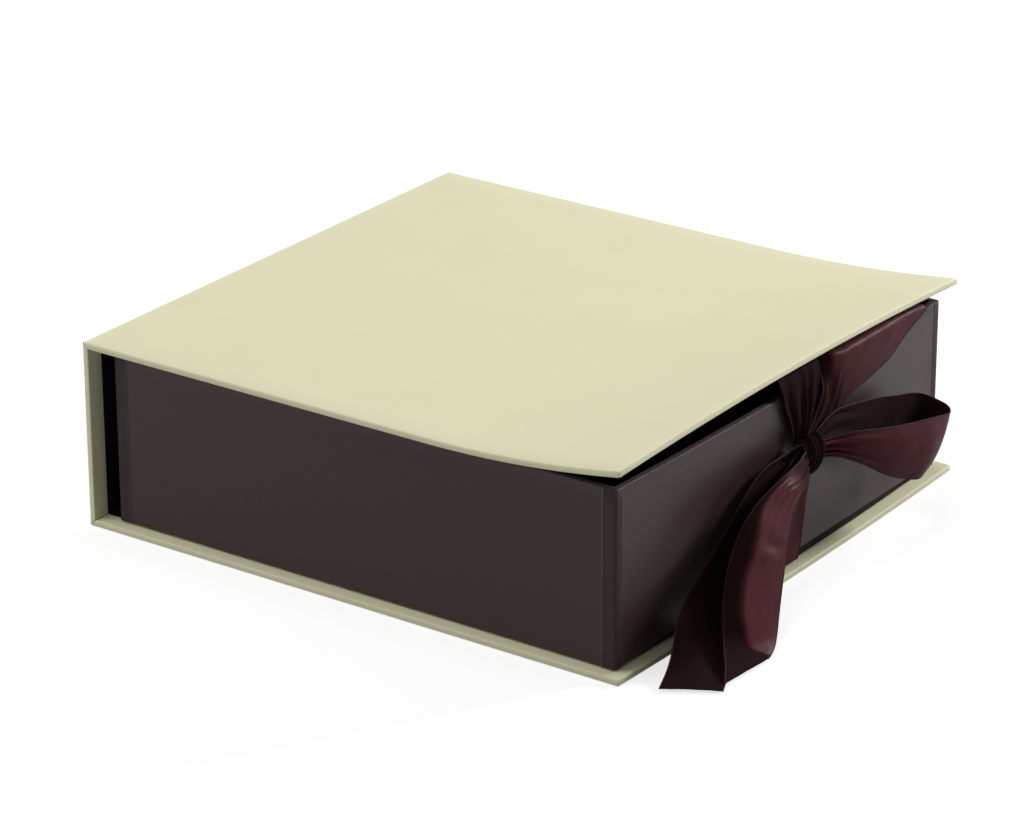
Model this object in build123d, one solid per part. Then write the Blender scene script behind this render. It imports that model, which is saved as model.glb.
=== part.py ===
"""Book-style rigid chocolate box with a ribbon bow.

A hinged case of three leaves (base, spine, lid) wraps a tray that is stuck to the base. Two ribbons,
one from under the tray and one from under the lid, are tied in a bow in front of the fore edge.
Millimetres. X runs from the spine to the fore edge, Y from the near end to the far end, +Z is up.
The origin is the middle of the base leaf's underside.
"""

from build123d import *
import math
import os

# Driving sizes of the case
case_length = 226.8
case_width = 217.6
case_height = 70.1
case_board = 2.0
paper = 0.2
turn_in = 7.0
crease_gap = 0.12
lining_gap = 0.1
base_bow = 1.9
curve_gap = 0.03

# Curl of the lid: the leaf is flat up to the curl, and its fore edge rises by these amounts
curl_run = 77.4
curl_near_rise = 6.9
curl_middle_rise = 8.9
curl_far_rise = 5.3

# Tray: a tray of board walls, with a wrap outside and a lining inside
tray_board = 2.0
spine_gap = 7.9
near_margin = 4.8
far_margin = 4.8
front_margin = 4.6
front_bulge = 2.4
glue_gap = 0.5
lid_gap = 0.1
rim_turn_in = 15.0
stay_thick = 0.15
stay_leg = 18.0

# Pad and divider insert
insert_gap = 0.8
pad_thick = 3.0
pad_gap = 0.15
pad_corner = 4.0
card_thick = 0.8
card_height = 32.0
cell_rows = 5
cell_columns = 5
slot_play = 0.15

# Ribbon and bow
ribbon_width = 25.0
ribbon_thick = 0.4
ribbon_belly = 2.2
ribbon_tuck = 20.0
strap_gap = 0.5
strap_stand = 2.5
knot_thick = 10.0
knot_width = 14.4
knot_tall = 14.0
knot_waist = 3.0
knot_height = 47.0
knot_offset = 3.7
tie_gap = 0.3
right_reach = 76.5
right_standoff = 16.0
left_reach = 86.0
left_standoff = 26.0
lower_tail_reach = 104.0
lower_tail_standoff = 26.0
upper_tail_reach = 85.8
upper_tail_standoff = 5.0
strap_slant = 12.0
ribs_per_span = 3

overrun = 1.0

# Worked-out planes of the case
leaf = case_board + 2 * paper
x_spine = -case_length / 2
x_fore = case_length / 2
y_end = case_width / 2
lid_under = case_height - leaf
x_curl = x_fore - curl_run

# Worked-out planes of the tray
tray_wall = tray_board + 2 * paper + stay_thick
seat = leaf + glue_gap
rim = lid_under - lid_gap
x_back = x_spine + leaf + spine_gap
x_front = x_fore - front_margin
y_near = -y_end + near_margin
y_far = y_end - far_margin
y_tray = (y_near + y_far) / 2
tray_floor_top = seat + paper + tray_board
tray_bed = tray_floor_top + paper

# Worked-out place of the knot
wall_face = x_front + front_bulge
knot_x = wall_face + strap_gap + knot_thick / 2
knot_top = knot_height + knot_tall / 2
knot_foot = knot_height - knot_tall / 2
knot_near = knot_offset - knot_width / 2
knot_far = knot_offset + knot_width / 2


def prism(points, half_width):
    """A solid whose outline in X and Z is drawn along Y, the same distance either way."""
    face = make_face(Polyline([(x, -half_width, z) for x, z in points], close=True))
    return extrude(face, amount=2 * half_width, dir=(0, 1, 0))


def block(x_range, y_range, z_range):
    """A box between pairs of planes."""
    sizes = [high - low for low, high in (x_range, y_range, z_range)]
    corner = Location((x_range[0], y_range[0], z_range[0]))
    return corner * Box(*sizes, align=(Align.MIN, Align.MIN, Align.MIN))


def save(node, shape):
    """Writes one node's solids to its own file."""
    solids = shape.solids()
    whole = solids[0] if len(solids) == 1 else Compound(children=list(solids))
    export_step(whole, os.path.join("parts", node + ".step"))


# The base leaf: its spine side is cut at the crease's mitre, and its fore edge bows outwards


def base_plan(low, high, edge, half_width):
    """The base leaf's plan between two heights, at a distance from the bowed fore edge."""
    back, front = x_spine - overrun, x_fore - edge
    corners = [(front, -half_width), (back, -half_width), (back, half_width), (front, half_width)]
    sides = Polyline([(x, y, low) for x, y in corners])
    bow = ThreePointArc((front, half_width, low), (front + base_bow, 0, low), (front, -half_width, low))
    return extrude(make_face([*sides.edges(), bow]), high - low, (0, 0, 1))


def base_slab(low, high, edge, half_width):
    """A slab of the base leaf between two heights, from the mitre to a distance from the fore edge."""
    points = [
        (x_spine + crease_gap + low, low),
        (x_fore + base_bow, low),
        (x_fore + base_bow, high),
        (x_spine + crease_gap + high, high),
    ]
    return prism(points, half_width) & base_plan(low, high, edge, half_width)


def make_base_leaf():
    """The base board, the cover paper turned in over three edges, and the lining between."""
    board = base_slab(paper, leaf - paper, paper, y_end - paper)
    window = base_slab(leaf - paper, leaf + overrun, turn_in, y_end - turn_in)
    heel = block(
        (x_spine - overrun, x_spine + leaf + crease_gap + overrun),
        (-y_end + turn_in, y_end - turn_in),
        (leaf - paper, leaf + overrun),
    )
    cover = base_slab(0, leaf, 0, y_end) - board - window - heel
    lining_edge = turn_in + lining_gap
    lining = base_slab(leaf - paper, leaf, lining_edge, y_end - lining_edge)
    save("base_board", board)
    save("base_cover_paper", cover)
    save("base_lining_paper", lining)


# The spine leaf: upright, with a mitre at its foot and one at its head


def spine_slab(low, high, half_width):
    """A slab of the spine leaf between two depths, measured inwards from its outer face."""
    foot, head = crease_gap, case_height - crease_gap
    points = [
        (x_spine + low, foot + low),
        (x_spine + high, foot + high),
        (x_spine + high, head - high),
        (x_spine + low, head - low),
    ]
    return prism(points, half_width)


def make_spine_leaf():
    """The spine board, its cover paper turned in at both ends, and the dark lining."""
    board = spine_slab(paper, leaf - paper, y_end - paper)
    window = block(
        (x_spine + leaf - paper, x_spine + leaf + overrun),
        (-y_end + turn_in, y_end - turn_in),
        (0, case_height),
    )
    cover = spine_slab(0, leaf, y_end) - board - window
    lining = spine_slab(leaf - paper, leaf, y_end - turn_in - lining_gap)
    save("spine_board", board)
    save("spine_cover_paper", cover)
    save("spine_lining_paper", lining)


# The lid leaf: flat from the spine, then curling up towards the fore edge


def curl_rise(y):
    """How far the fore edge rises at a place across the lid: a parabola through three rises."""
    share = y / y_end
    tilt = (curl_far_rise - curl_near_rise) / 2
    crown = (curl_near_rise + curl_far_rise) / 2 - curl_middle_rise
    return curl_middle_rise + tilt * share + crown * share**2


def lid_section(y, low, high, edge, heel=0.0):
    """The lid's outline at one place across: a straight run and an arc, between two heights."""
    rise = curl_rise(y)
    radius = (curl_run**2 + rise**2) / (2 * rise)
    sweep = math.asin(curl_run / radius) - edge / radius
    mitre = x_spine + crease_gap + leaf - heel

    def on_curl(height, turn):
        bend = radius - height
        return (x_curl + bend * math.sin(turn), y, lid_under + radius - bend * math.cos(turn))

    start_low, start_high = (x_curl, y, lid_under + low), (x_curl, y, lid_under + high)
    heel_low, heel_high = (mitre - low, y, lid_under + low), (mitre - high, y, lid_under + high)
    outline = [
        Line(heel_low, start_low),
        ThreePointArc(start_low, on_curl(low, sweep / 2), on_curl(low, sweep)),
        Line(on_curl(low, sweep), on_curl(high, sweep)),
        ThreePointArc(on_curl(high, sweep), on_curl(high, sweep / 2), start_high),
        Line(start_high, heel_high),
        Line(heel_high, heel_low),
    ]
    return make_face(outline)


def lid_slab(low, high, edge, half_width, heel=0.0):
    """A slab of the lid leaf between two heights, lofted from the near end to the far end."""
    places = (-half_width, 0, half_width)
    return loft([lid_section(y, low, high, edge, heel) for y in places])


def make_lid_leaf():
    """The lid board, its cover paper turned in over three edges, and the lining below."""
    board = lid_slab(paper, leaf - paper, paper, y_end - paper)
    window = lid_slab(-overrun, leaf / 2, turn_in, y_end - turn_in, overrun)
    cover = lid_slab(0, leaf, 0, y_end) - board - window
    lining_edge = turn_in + lining_gap
    lining = lid_slab(0, paper - curve_gap, lining_edge, y_end - lining_edge)
    save("lid_board", board)
    save("lid_cover_paper", cover)
    save("lid_lining_paper", lining)


# The tray: its front wall is bowed outwards


def tray_outline(inset, height):
    """The tray's plan, drawn in by an inset, as a face: three straight sides and a bowed front."""
    back, front = x_back + inset, x_front - inset
    near, far = y_near + inset, y_far - inset
    corners = [(front, near), (back, near), (back, far), (front, far)]
    sides = Polyline([(x, y, height) for x, y in corners])
    bow = ThreePointArc((front, far, height), (front + front_bulge, y_tray, height), (front, near, height))
    return make_face([*sides.edges(), bow])


def tray_slab(inset, low, high):
    """The tray's plan, drawn in by an inset, raised between two heights."""
    return extrude(tray_outline(inset, low), high - low, (0, 0, 1))


def tray_ring(outer, inner, low, high):
    """A band round the tray between two insets and two heights."""
    return tray_slab(outer, low, high) - tray_slab(inner, low, high)


def make_tray_boards():
    """The tray's floor and its four walls, each a board of its own, inside the wrap."""
    outer, inner = paper + stay_thick, tray_wall - paper
    low, high = seat + paper, rim - paper
    ring = tray_ring(outer, inner, low, high)
    near_in, far_in = y_near + inner, y_far - inner
    front_cut = block((x_front - inner, x_fore + front_bulge), (-y_end, y_end), (0, case_height))
    middle = block((x_back, x_front - inner), (near_in, far_in), (0, case_height))
    near_cut = block((x_back, x_front - inner), (-y_end, near_in), (0, case_height))
    far_cut = block((x_back, x_front - inner), (far_in, y_end), (0, case_height))
    save("tray_front_wall", ring & front_cut)
    save("tray_back_wall", ring & middle)
    save("tray_near_wall", ring & near_cut)
    save("tray_far_wall", ring & far_cut)
    save("tray_floor", tray_slab(inner, low, tray_floor_top))


def make_tray_papers():
    """The wrap, which folds over the rim, and the lining, which covers the walls inside."""
    low, high = seat + paper, rim - paper
    inner_face = tray_wall - paper
    skin = tray_ring(0, paper, seat, high)
    sole = tray_ring(0, stay_leg, seat, low)
    cap = tray_ring(0, tray_wall, high, rim)
    fold = tray_ring(inner_face, tray_wall, rim - rim_turn_in, high)
    save("tray_wrap_paper", skin + sole + cap + fold)
    walls = tray_ring(inner_face, tray_wall, tray_floor_top, rim - rim_turn_in - lining_gap)
    bed = tray_slab(tray_wall, tray_floor_top, tray_bed)
    save("tray_lining_paper", walls + bed)
    stays = tray_ring(paper, paper + stay_thick, low, high)
    height = (0, case_height)
    long_gap = block((x_back + stay_leg, x_front - stay_leg), (-y_end, y_end), height)
    cross_gap = block((x_spine, x_fore + front_bulge), (y_near + stay_leg, y_far - stay_leg), height)
    save("tray_corner_stays", stays - long_gap - cross_gap)


# The insert: a padded sheet on the tray's bed and a grid of slotted card strips on the pad

insert_near = y_near + tray_wall + insert_gap
insert_far = y_far - tray_wall - insert_gap
insert_back = x_back + tray_wall + insert_gap
insert_front = x_front - tray_wall - insert_gap
pad_low = tray_bed + pad_gap
card_low = pad_low + pad_thick + pad_gap
card_high = card_low + card_height


def make_candy_pad():
    """A padded paper sheet with drawn-in, rounded corners and a crowned edge."""
    size = (insert_front - insert_back, insert_far - insert_near, pad_thick)
    place = ((insert_front + insert_back) / 2, (insert_far + insert_near) / 2, pad_low)
    pad = Pos(*place) * Box(*size, align=(Align.CENTER, Align.CENTER, Align.MIN))
    pad = fillet(pad.edges().filter_by(Axis.Z), pad_corner)
    save("candy_pad", fillet(pad.faces().sort_by(Axis.Z)[-1].edges(), pad_thick / 2))


def column_edge(index):
    """The X of a cross strip's middle, counted from the spine side."""
    return insert_back + (insert_front - insert_back) * index / cell_columns


def row_edge(index):
    """The Y of a long strip's middle, counted from the near side."""
    return insert_near + (insert_far - insert_near) * index / cell_rows


def make_divider():
    """Long strips slotted from above and cross strips slotted from below, half-lapped."""
    half, half_slot = card_thick / 2, card_thick / 2 + slot_play
    lap = card_low + card_height / 2
    upper_lap, lower_lap = (lap, card_high + overrun), (card_low - overrun, lap + slot_play)
    columns = [column_edge(index) for index in range(1, cell_columns)]
    rows = [row_edge(index) for index in range(1, cell_rows)]
    for number, y in enumerate(rows, 1):
        strip = block((insert_back, insert_front), (y - half, y + half), (card_low, card_high))
        for x in columns:
            strip -= block((x - half_slot, x + half_slot), (y - card_thick, y + card_thick), upper_lap)
        save(f"divider_long_{number}", strip)
    for number, x in enumerate(columns, 1):
        strip = block((x - half, x + half), (insert_near, insert_far), (card_low, card_high))
        for y in rows:
            strip -= block((x - card_thick, x + card_thick), (y - half_slot, y + half_slot), lower_lap)
        save(f"divider_cross_{number}", strip)


# The ribbon: each stretch is a thin strip lofted through its ribs, with a hollow across its width


def rib_face(first, second, tangent, belly, thick):
    """One cross-section of a ribbon: two shallow arcs, a thickness apart, and two short ends."""
    across = second - first
    normal = tangent.cross(across).normalized()
    middle = (first + second) * 0.5 + normal * belly
    lift = normal * (thick / 2)
    outline = [
        ThreePointArc(first + lift, middle + lift, second + lift),
        Line(second + lift, second - lift),
        ThreePointArc(second - lift, middle - lift, first - lift),
        Line(first - lift, first + lift),
    ]
    return make_face(outline)


def eased(values, place):
    """A value between those of a list, on the smooth curve that passes through all of them."""
    last = len(values) - 1
    index = min(int(place), last - 1)
    part = place - index
    before, start = values[max(index - 1, 0)], values[index]
    end, after = values[index + 1], values[min(index + 2, last)]
    lean_in, lean_out = (end - before) * 0.5, (after - start) * 0.5
    rise = start * (2 * part**3 - 3 * part**2 + 1) + end * (3 * part**2 - 2 * part**3)
    return rise + lean_in * (part**3 - 2 * part**2 + part) + lean_out * (part**3 - part**2)


def ribbon(ribs, belly_shares, steps=ribs_per_span):
    """A ribbon through a list of ribs, each a pair of edge points, with more ribs eased in between."""
    firsts, seconds = [rib[0] for rib in ribs], [rib[1] for rib in ribs]
    places = [step / steps for step in range((len(ribs) - 1) * steps + 1)]
    edges = [(eased(firsts, place), eased(seconds, place)) for place in places]
    middles = [(first + second) * 0.5 for first, second in edges]
    faces = []
    for index, (first, second) in enumerate(edges):
        before, after = middles[max(index - 1, 0)], middles[min(index + 1, len(edges) - 1)]
        belly = ribbon_belly * eased(belly_shares, places[index])
        faces.append(rib_face(first, second, after - before, belly, ribbon_thick))
    return loft(faces, ruled=True)


def bow_ribs(rib_shares, standoff, reach):
    """Edge points from shares of a standoff from the knot, a reach along the wall and the knot's height."""
    ribs = []
    for pair in rib_shares:
        edge = [
            Vector(knot_x + out * standoff, knot_offset + along * reach, up * knot_height)
            for out, along, up in pair
        ]
        ribs.append(tuple(edge))
    return ribs


right_loop_shares = [
    ((0.22, 0.10, 1.06), (0.22, 0.10, 0.89)),
    ((0.53, 0.17, 1.12), (0.47, 0.24, 0.79)),
    ((0.78, 0.35, 1.03), (0.66, 0.43, 0.60)),
    ((0.94, 0.58, 0.97), (0.72, 0.61, 0.47)),
    ((1.00, 0.77, 0.89), (0.75, 0.73, 0.41)),
    ((0.91, 0.92, 0.83), (0.66, 0.84, 0.44)),
    ((0.56, 1.00, 0.82), (0.38, 0.92, 0.44)),
    ((0.16, 0.95, 0.89), (0.06, 0.86, 0.45)),
    ((-0.06, 0.73, 0.99), (-0.09, 0.72, 0.52)),
    ((-0.14, 0.41, 1.05), (-0.14, 0.42, 0.74)),
    ((-0.11, 0.10, 1.04), (-0.11, 0.10, 0.91)),
]
right_belly_shares = [0.3, -0.6, -1.0, -1.0, -0.8, -0.4, 0.2, 0.3, 0.3, 0.3, 0.2]

left_loop_shares = [
    ((0.13, 0.09, 1.06), (0.13, 0.09, 0.89)),
    ((0.29, 0.36, 0.93), (0.27, 0.20, 0.72)),
    ((0.35, 0.55, 0.69), (0.40, 0.31, 0.51)),
    ((0.42, 0.69, 0.50), (0.54, 0.43, 0.28)),
    ((0.52, 0.79, 0.36), (0.69, 0.57, 0.12)),
    ((0.56, 0.91, 0.34), (0.87, 0.74, 0.07)),
    ((0.46, 0.97, 0.20), (0.81, 0.84, 0.04)),
    ((0.29, 0.89, 0.22), (0.63, 0.76, 0.04)),
    ((0.15, 0.78, 0.45), (0.40, 0.60, 0.15)),
    ((0.10, 0.62, 0.66), (0.23, 0.41, 0.36)),
    ((0.06, 0.38, 0.87), (0.10, 0.22, 0.64)),
    ((-0.06, 0.09, 1.04), (-0.06, 0.09, 0.89)),
]
left_belly_shares = [0.3, 0.8, 1.2, 1.2, 0.9, 0.4, 0.2, 0.2, 0.3, 0.3, 0.3, 0.2]

lower_tail_shares = [
    ((-0.11, 0.07, 0.98), (-0.11, 0.07, 0.85)),
    ((-0.13, 0.30, 0.94), (-0.10, 0.18, 0.64)),
    ((-0.13, 0.47, 0.73), (-0.07, 0.31, 0.40)),
    ((-0.12, 0.61, 0.56), (-0.02, 0.42, 0.21)),
    ((-0.10, 0.71, 0.43), (0.06, 0.52, 0.06)),
    ((0.00, 0.81, 0.31), (0.21, 0.62, 0.04)),
    ((0.13, 0.88, 0.19), (0.40, 0.73, 0.04)),
    ((0.33, 1.00, 0.05), (0.92, 0.91, 0.04)),
]
lower_tail_belly_shares = [0.2, 0.4, 0.5, 0.6, 0.8, 1.0, 0.9, 0.3]

upper_tail_shares = [
    ((-0.70, 0.09, 1.16), (-0.70, 0.09, 1.01)),
    ((-0.74, 0.17, 1.40), (-0.66, 0.24, 1.09)),
    ((-0.82, 0.27, 1.50), (-0.70, 0.37, 1.11)),
    ((-0.90, 0.48, 1.51), (-0.78, 0.58, 1.20)),
    ((-0.94, 0.71, 1.51), (-0.86, 0.80, 1.35)),
    ((-0.98, 0.94, 1.50), (-0.98, 1.00, 1.47)),
]
upper_tail_belly_shares = [-0.2, -0.4, -0.5, -0.5, -0.3, -0.1]


def make_bow():
    """The knot, the two loops and the two tails."""
    sections = [
        (knot_near, knot_thick - knot_waist, knot_tall - knot_waist),
        (knot_offset, knot_thick, knot_tall),
        (knot_far, knot_thick - knot_waist, knot_tall - knot_waist),
    ]
    save("bow_knot", loft([knot_face(*section) for section in sections]))
    right = ribbon(bow_ribs(right_loop_shares, right_standoff, right_reach), right_belly_shares)
    save("right_loop", right)
    left = ribbon(bow_ribs(left_loop_shares, left_standoff, -left_reach), left_belly_shares)
    save("left_loop", left)
    lower = bow_ribs(lower_tail_shares, lower_tail_standoff, -lower_tail_reach)
    save("lower_tail", ribbon(lower, lower_tail_belly_shares))
    upper = bow_ribs(upper_tail_shares, upper_tail_standoff, upper_tail_reach)
    save("upper_tail", ribbon(upper, upper_tail_belly_shares))


def knot_face(y, thick, tall):
    """A cross-section of the knot, a rounded square of four arcs, square to Y."""
    swell = knot_waist / 2
    half_x, half_z = thick / 2 - swell, tall / 2 - swell
    corners = [(-half_x, -half_z), (half_x, -half_z), (half_x, half_z), (-half_x, half_z)]
    middles = [(0, -tall / 2), (thick / 2, 0), (0, tall / 2), (-thick / 2, 0)]
    outline = []
    for index, middle in enumerate(middles):
        points = (corners[index], middle, corners[(index + 1) % 4])
        outline.append(ThreePointArc(*[(knot_x + x, y, knot_height + z) for x, z in points]))
    return make_face(outline)


def strap_rib(x, y, z, width):
    """A rib of a strap that lies across Y."""
    return Vector(x, y - width / 2, z), Vector(x, y + width / 2, z)


# Each row: share of the climb or drop, share of the sideways or outward shift, share of the width
lower_strap_shares = [(0.33, 0.25, 0.95), (0.67, 0.60, 0.80)]
lower_strap_belly_shares = [0.02, 0.02, 0.02, 0.05, 0.1, 0.2]
upper_strap_shares = [(0.12, 0.2, 1.0), (0.30, 0.8, 0.97), (0.55, 1.0, 0.85), (0.80, 1.2, 0.65)]
upper_strap_belly_shares = [0.02, 0.02, 0.02, 0.1, 0.3, 0.5, 0.4, 0.2]
strap_x = knot_x - knot_thick / 4
gathered_width = knot_width - knot_waist


def make_lower_ribbon():
    """The ribbon from under the tray, up the front wall, gathered towards the knot's foot."""
    under_tray = leaf + glue_gap / 2
    face = wall_face + 2 * strap_gap
    foot = knot_offset - strap_slant
    climb = knot_foot - tie_gap - leaf
    ribs = [
        strap_rib(wall_face - ribbon_tuck, foot, under_tray, ribbon_width),
        strap_rib(wall_face + strap_gap / 2, foot, under_tray, ribbon_width),
        strap_rib(face, foot, seat + glue_gap, ribbon_width),
    ]
    for climb_share, slant_share, width_share in lower_strap_shares:
        y, z = foot + strap_slant * slant_share, leaf + climb * climb_share
        ribs.append(strap_rib(face, y, z, ribbon_width * width_share))
    ribs.append(strap_rib(strap_x, knot_offset, knot_foot - tie_gap, gathered_width))
    save("lower_ribbon", ribbon(ribs, lower_strap_belly_shares, 1))


def under_lid(x):
    """The height just below the lid at the middle of its curl."""
    radius = (curl_run**2 + curl_middle_rise**2) / (2 * curl_middle_rise)
    return lid_under + (x - x_curl) ** 2 / (2 * radius) - glue_gap


def make_upper_ribbon():
    """The ribbon from under the lid, over the rim without touching it, gathered towards the knot's head."""
    tuck, lip = wall_face - ribbon_tuck, wall_face - tray_wall
    top = under_lid(wall_face)
    drop = top - knot_top - tie_gap
    ribs = [strap_rib(x, knot_offset, under_lid(x), ribbon_width) for x in (tuck, (tuck + lip) / 2, lip)]
    for drop_share, out_share, width_share in upper_strap_shares:
        x = wall_face + strap_stand * out_share
        ribs.append(strap_rib(x, knot_offset, top - drop * drop_share, ribbon_width * width_share))
    ribs.append(strap_rib(strap_x, knot_offset, knot_top + tie_gap, gathered_width))
    save("upper_ribbon", ribbon(ribs, upper_strap_belly_shares, 1))


def main():
    """Makes every piece, leaf by leaf."""
    os.makedirs("parts", exist_ok=True)
    make_base_leaf()
    make_spine_leaf()
    make_lid_leaf()
    make_tray_boards()
    make_tray_papers()
    make_candy_pad()
    make_divider()
    make_bow()
    make_lower_ribbon()
    make_upper_ribbon()


main()
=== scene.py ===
"""Dresses a book-style chocolate box with paper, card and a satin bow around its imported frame.

Lengths are in metres, or in millimetres where a name ends in _mm. X runs from the spine to the fore
edge with the bow, Y from the near end to the far end, and Z is up from the table.
"""

from __future__ import annotations

import logging
import math
from collections.abc import Callable, Iterable
from dataclasses import dataclass, field
from enum import Enum, StrEnum
from typing import ClassVar

import bmesh
import bpy
from mathutils import Matrix, Vector, noise


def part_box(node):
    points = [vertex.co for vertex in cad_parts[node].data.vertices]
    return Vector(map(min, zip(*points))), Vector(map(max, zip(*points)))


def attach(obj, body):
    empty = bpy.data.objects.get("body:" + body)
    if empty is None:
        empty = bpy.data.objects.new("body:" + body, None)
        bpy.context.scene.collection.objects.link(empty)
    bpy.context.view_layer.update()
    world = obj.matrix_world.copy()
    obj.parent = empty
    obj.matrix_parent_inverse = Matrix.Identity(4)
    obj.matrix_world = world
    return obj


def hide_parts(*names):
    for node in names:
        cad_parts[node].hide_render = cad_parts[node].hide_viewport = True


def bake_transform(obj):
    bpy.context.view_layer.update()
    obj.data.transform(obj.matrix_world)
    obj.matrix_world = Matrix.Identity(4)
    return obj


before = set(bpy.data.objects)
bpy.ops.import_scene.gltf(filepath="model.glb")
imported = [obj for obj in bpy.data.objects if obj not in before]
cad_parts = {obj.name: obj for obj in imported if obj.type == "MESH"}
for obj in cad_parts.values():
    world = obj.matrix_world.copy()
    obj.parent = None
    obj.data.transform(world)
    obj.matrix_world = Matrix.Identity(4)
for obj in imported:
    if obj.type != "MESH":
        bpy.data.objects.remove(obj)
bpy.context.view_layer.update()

logging.basicConfig(level=logging.INFO, format="%(message)s")
log = logging.getLogger("chocolate_box")

MM = 0.001

Socket = bpy.types.NodeSocket
Material = bpy.types.Material
Piece = bpy.types.Object
Triple = tuple[float, float, float]
Colour = Triple | Socket


class Body(Enum):
    """The rigid bodies that new pieces ride on."""

    BASE = "base"
    SPINE = "spine"
    LID = "lid"


class Slot(Enum):
    """The material slots that new pieces take."""

    CREAM = "cream_paper"
    WRAP = "brown_wrap_paper"
    PAD = "pad_paper"
    SATIN = "satin_ribbon"


class Held(StrEnum):
    """How a stretch of ribbon is held."""

    GATHERED = "gathered"
    STRETCHED = "stretched"


# Node trees


class Graph:
    """A node tree, with short calls that add nodes and fill their inputs."""

    def __init__(self, tree: bpy.types.NodeTree) -> None:
        """Keeps the tree that the nodes go into."""
        self.tree = tree

    def fill(self, target: Socket, value: object) -> None:
        """Links a socket to an input, or sets the input's own value.

        Args:
            target: The input.
            value: A socket, or a plain value.
        """
        if isinstance(value, Socket):
            self.tree.links.new(value, target)
        else:
            target.default_value = value

    def add(self, kind: str, inputs: dict[str | int, object] | None = None,
            **settings: object) -> bpy.types.Node:
        """Adds a node.

        Args:
            kind: The node's type.
            inputs: What goes into its inputs, by their names or numbers: sockets or plain values.
            settings: The node's own properties.

        Returns:
            The node.
        """
        node = self.tree.nodes.new(kind)
        for name, value in settings.items():
            setattr(node, name, value)
        for name, value in (inputs or {}).items():
            self.fill(node.inputs[name], value)
        return node

    def combined(self, operation: str, first: Socket | float, second: Socket | float = 0.0) -> Socket:
        """A number worked out from one or two others."""
        return self.add("ShaderNodeMath", {0: first, 1: second}, operation=operation).outputs["Value"]


class Shader(Graph):
    """A material's node tree, with the noises, blends and reliefs that the finishes share."""

    def __init__(self, name: str) -> None:
        """Starts an empty tree with a Principled shader.

        Args:
            name: The material's name.
        """
        self.material = bpy.data.materials.new(name)
        self.material.use_nodes = True
        super().__init__(self.material.node_tree)
        self.tree.nodes.clear()
        self.output = self.add("ShaderNodeOutputMaterial")
        self.surface = self.add("ShaderNodeBsdfPrincipled")
        self.fill(self.output.inputs["Surface"], self.surface.outputs["BSDF"])

    def surface_takes(self, **values: Socket | float) -> None:
        """Fills the surface shader's own sockets.

        Args:
            values: Socket names in lower case with underscores, and what goes into them.
        """
        for name, value in values.items():
            socket = name.replace("_", " ").title().replace("Ior", "IOR")
            self.fill(self.surface.inputs[socket], value)

    def mapped(self, source: Socket, scale: Triple) -> Socket:
        """Coordinates, stretched along each axis."""
        return self.add("ShaderNodeMapping", {"Vector": source, "Scale": scale}).outputs["Vector"]

    def place(self, scale: Triple = (1, 1, 1)) -> Socket:
        """Object coordinates, stretched along each axis."""
        return self.mapped(self.add("ShaderNodeTexCoord").outputs["Object"], scale)

    def cloth(self, scale: Triple) -> Socket:
        """The piece's own UV map, in metres across and along the cloth, stretched along each axis."""
        return self.mapped(self.add("ShaderNodeUVMap", uv_map="cloth").outputs["UV"], scale)

    def speckle(self, vector: Socket, scale: float, detail: float) -> Socket:
        """Soft noise between 0 and 1, with a number of cells per metre and a number of octaves."""
        inputs = {"Vector": vector, "Scale": scale, "Detail": detail}
        return self.add("ShaderNodeTexNoise", inputs).outputs["Fac"]

    def spread(self, value: Socket, low: float, high: float, start: float = 0.3, stop: float = 0.7) -> Socket:
        """Maps the range from start to stop onto the range from low to high, clamped."""
        inputs = {"Value": value, "From Min": start, "From Max": stop, "To Min": low, "To Max": high}
        return self.add("ShaderNodeMapRange", inputs).outputs["Result"]

    def mixed(self, share: Socket, first: Colour, second: Colour) -> Socket:
        """A colour between two colours.

        Args:
            share: How much of the second colour it takes.
            first: The colour at a share of 0.
            second: The colour at a share of 1.

        Returns:
            The mixed colour.
        """
        colour_inputs, colour_output = (6, 7), 2
        inputs = {"Factor": share}
        for index, colour in zip(colour_inputs, (first, second)):
            inputs[index] = colour if isinstance(colour, Socket) else (*colour, 1)
        return self.add("ShaderNodeMix", inputs, data_type="RGBA").outputs[colour_output]

    def raised(self, value: Socket, by: Socket, factor: float) -> Socket:
        """A value plus a factor times another value."""
        return self.combined("ADD", value, self.combined("MULTIPLY", by, factor))

    def attribute(self, name: str) -> Socket:
        """A number stored on the piece's points."""
        return self.add("ShaderNodeAttribute", attribute_name=name).outputs["Fac"]

    def bump(self, height: Socket, distance: float, below: Socket | None = None) -> Socket:
        """Relief from a height.

        Args:
            height: The height, between 0 and 1.
            distance: How high 1 stands.
            below: Another relief that this one lies on.

        Returns:
            The bent normal.
        """
        inputs = {"Height": height, "Distance": distance}
        if below is not None:
            inputs["Normal"] = below
        return self.add("ShaderNodeBump", inputs).outputs["Normal"]


# Finishes


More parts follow.
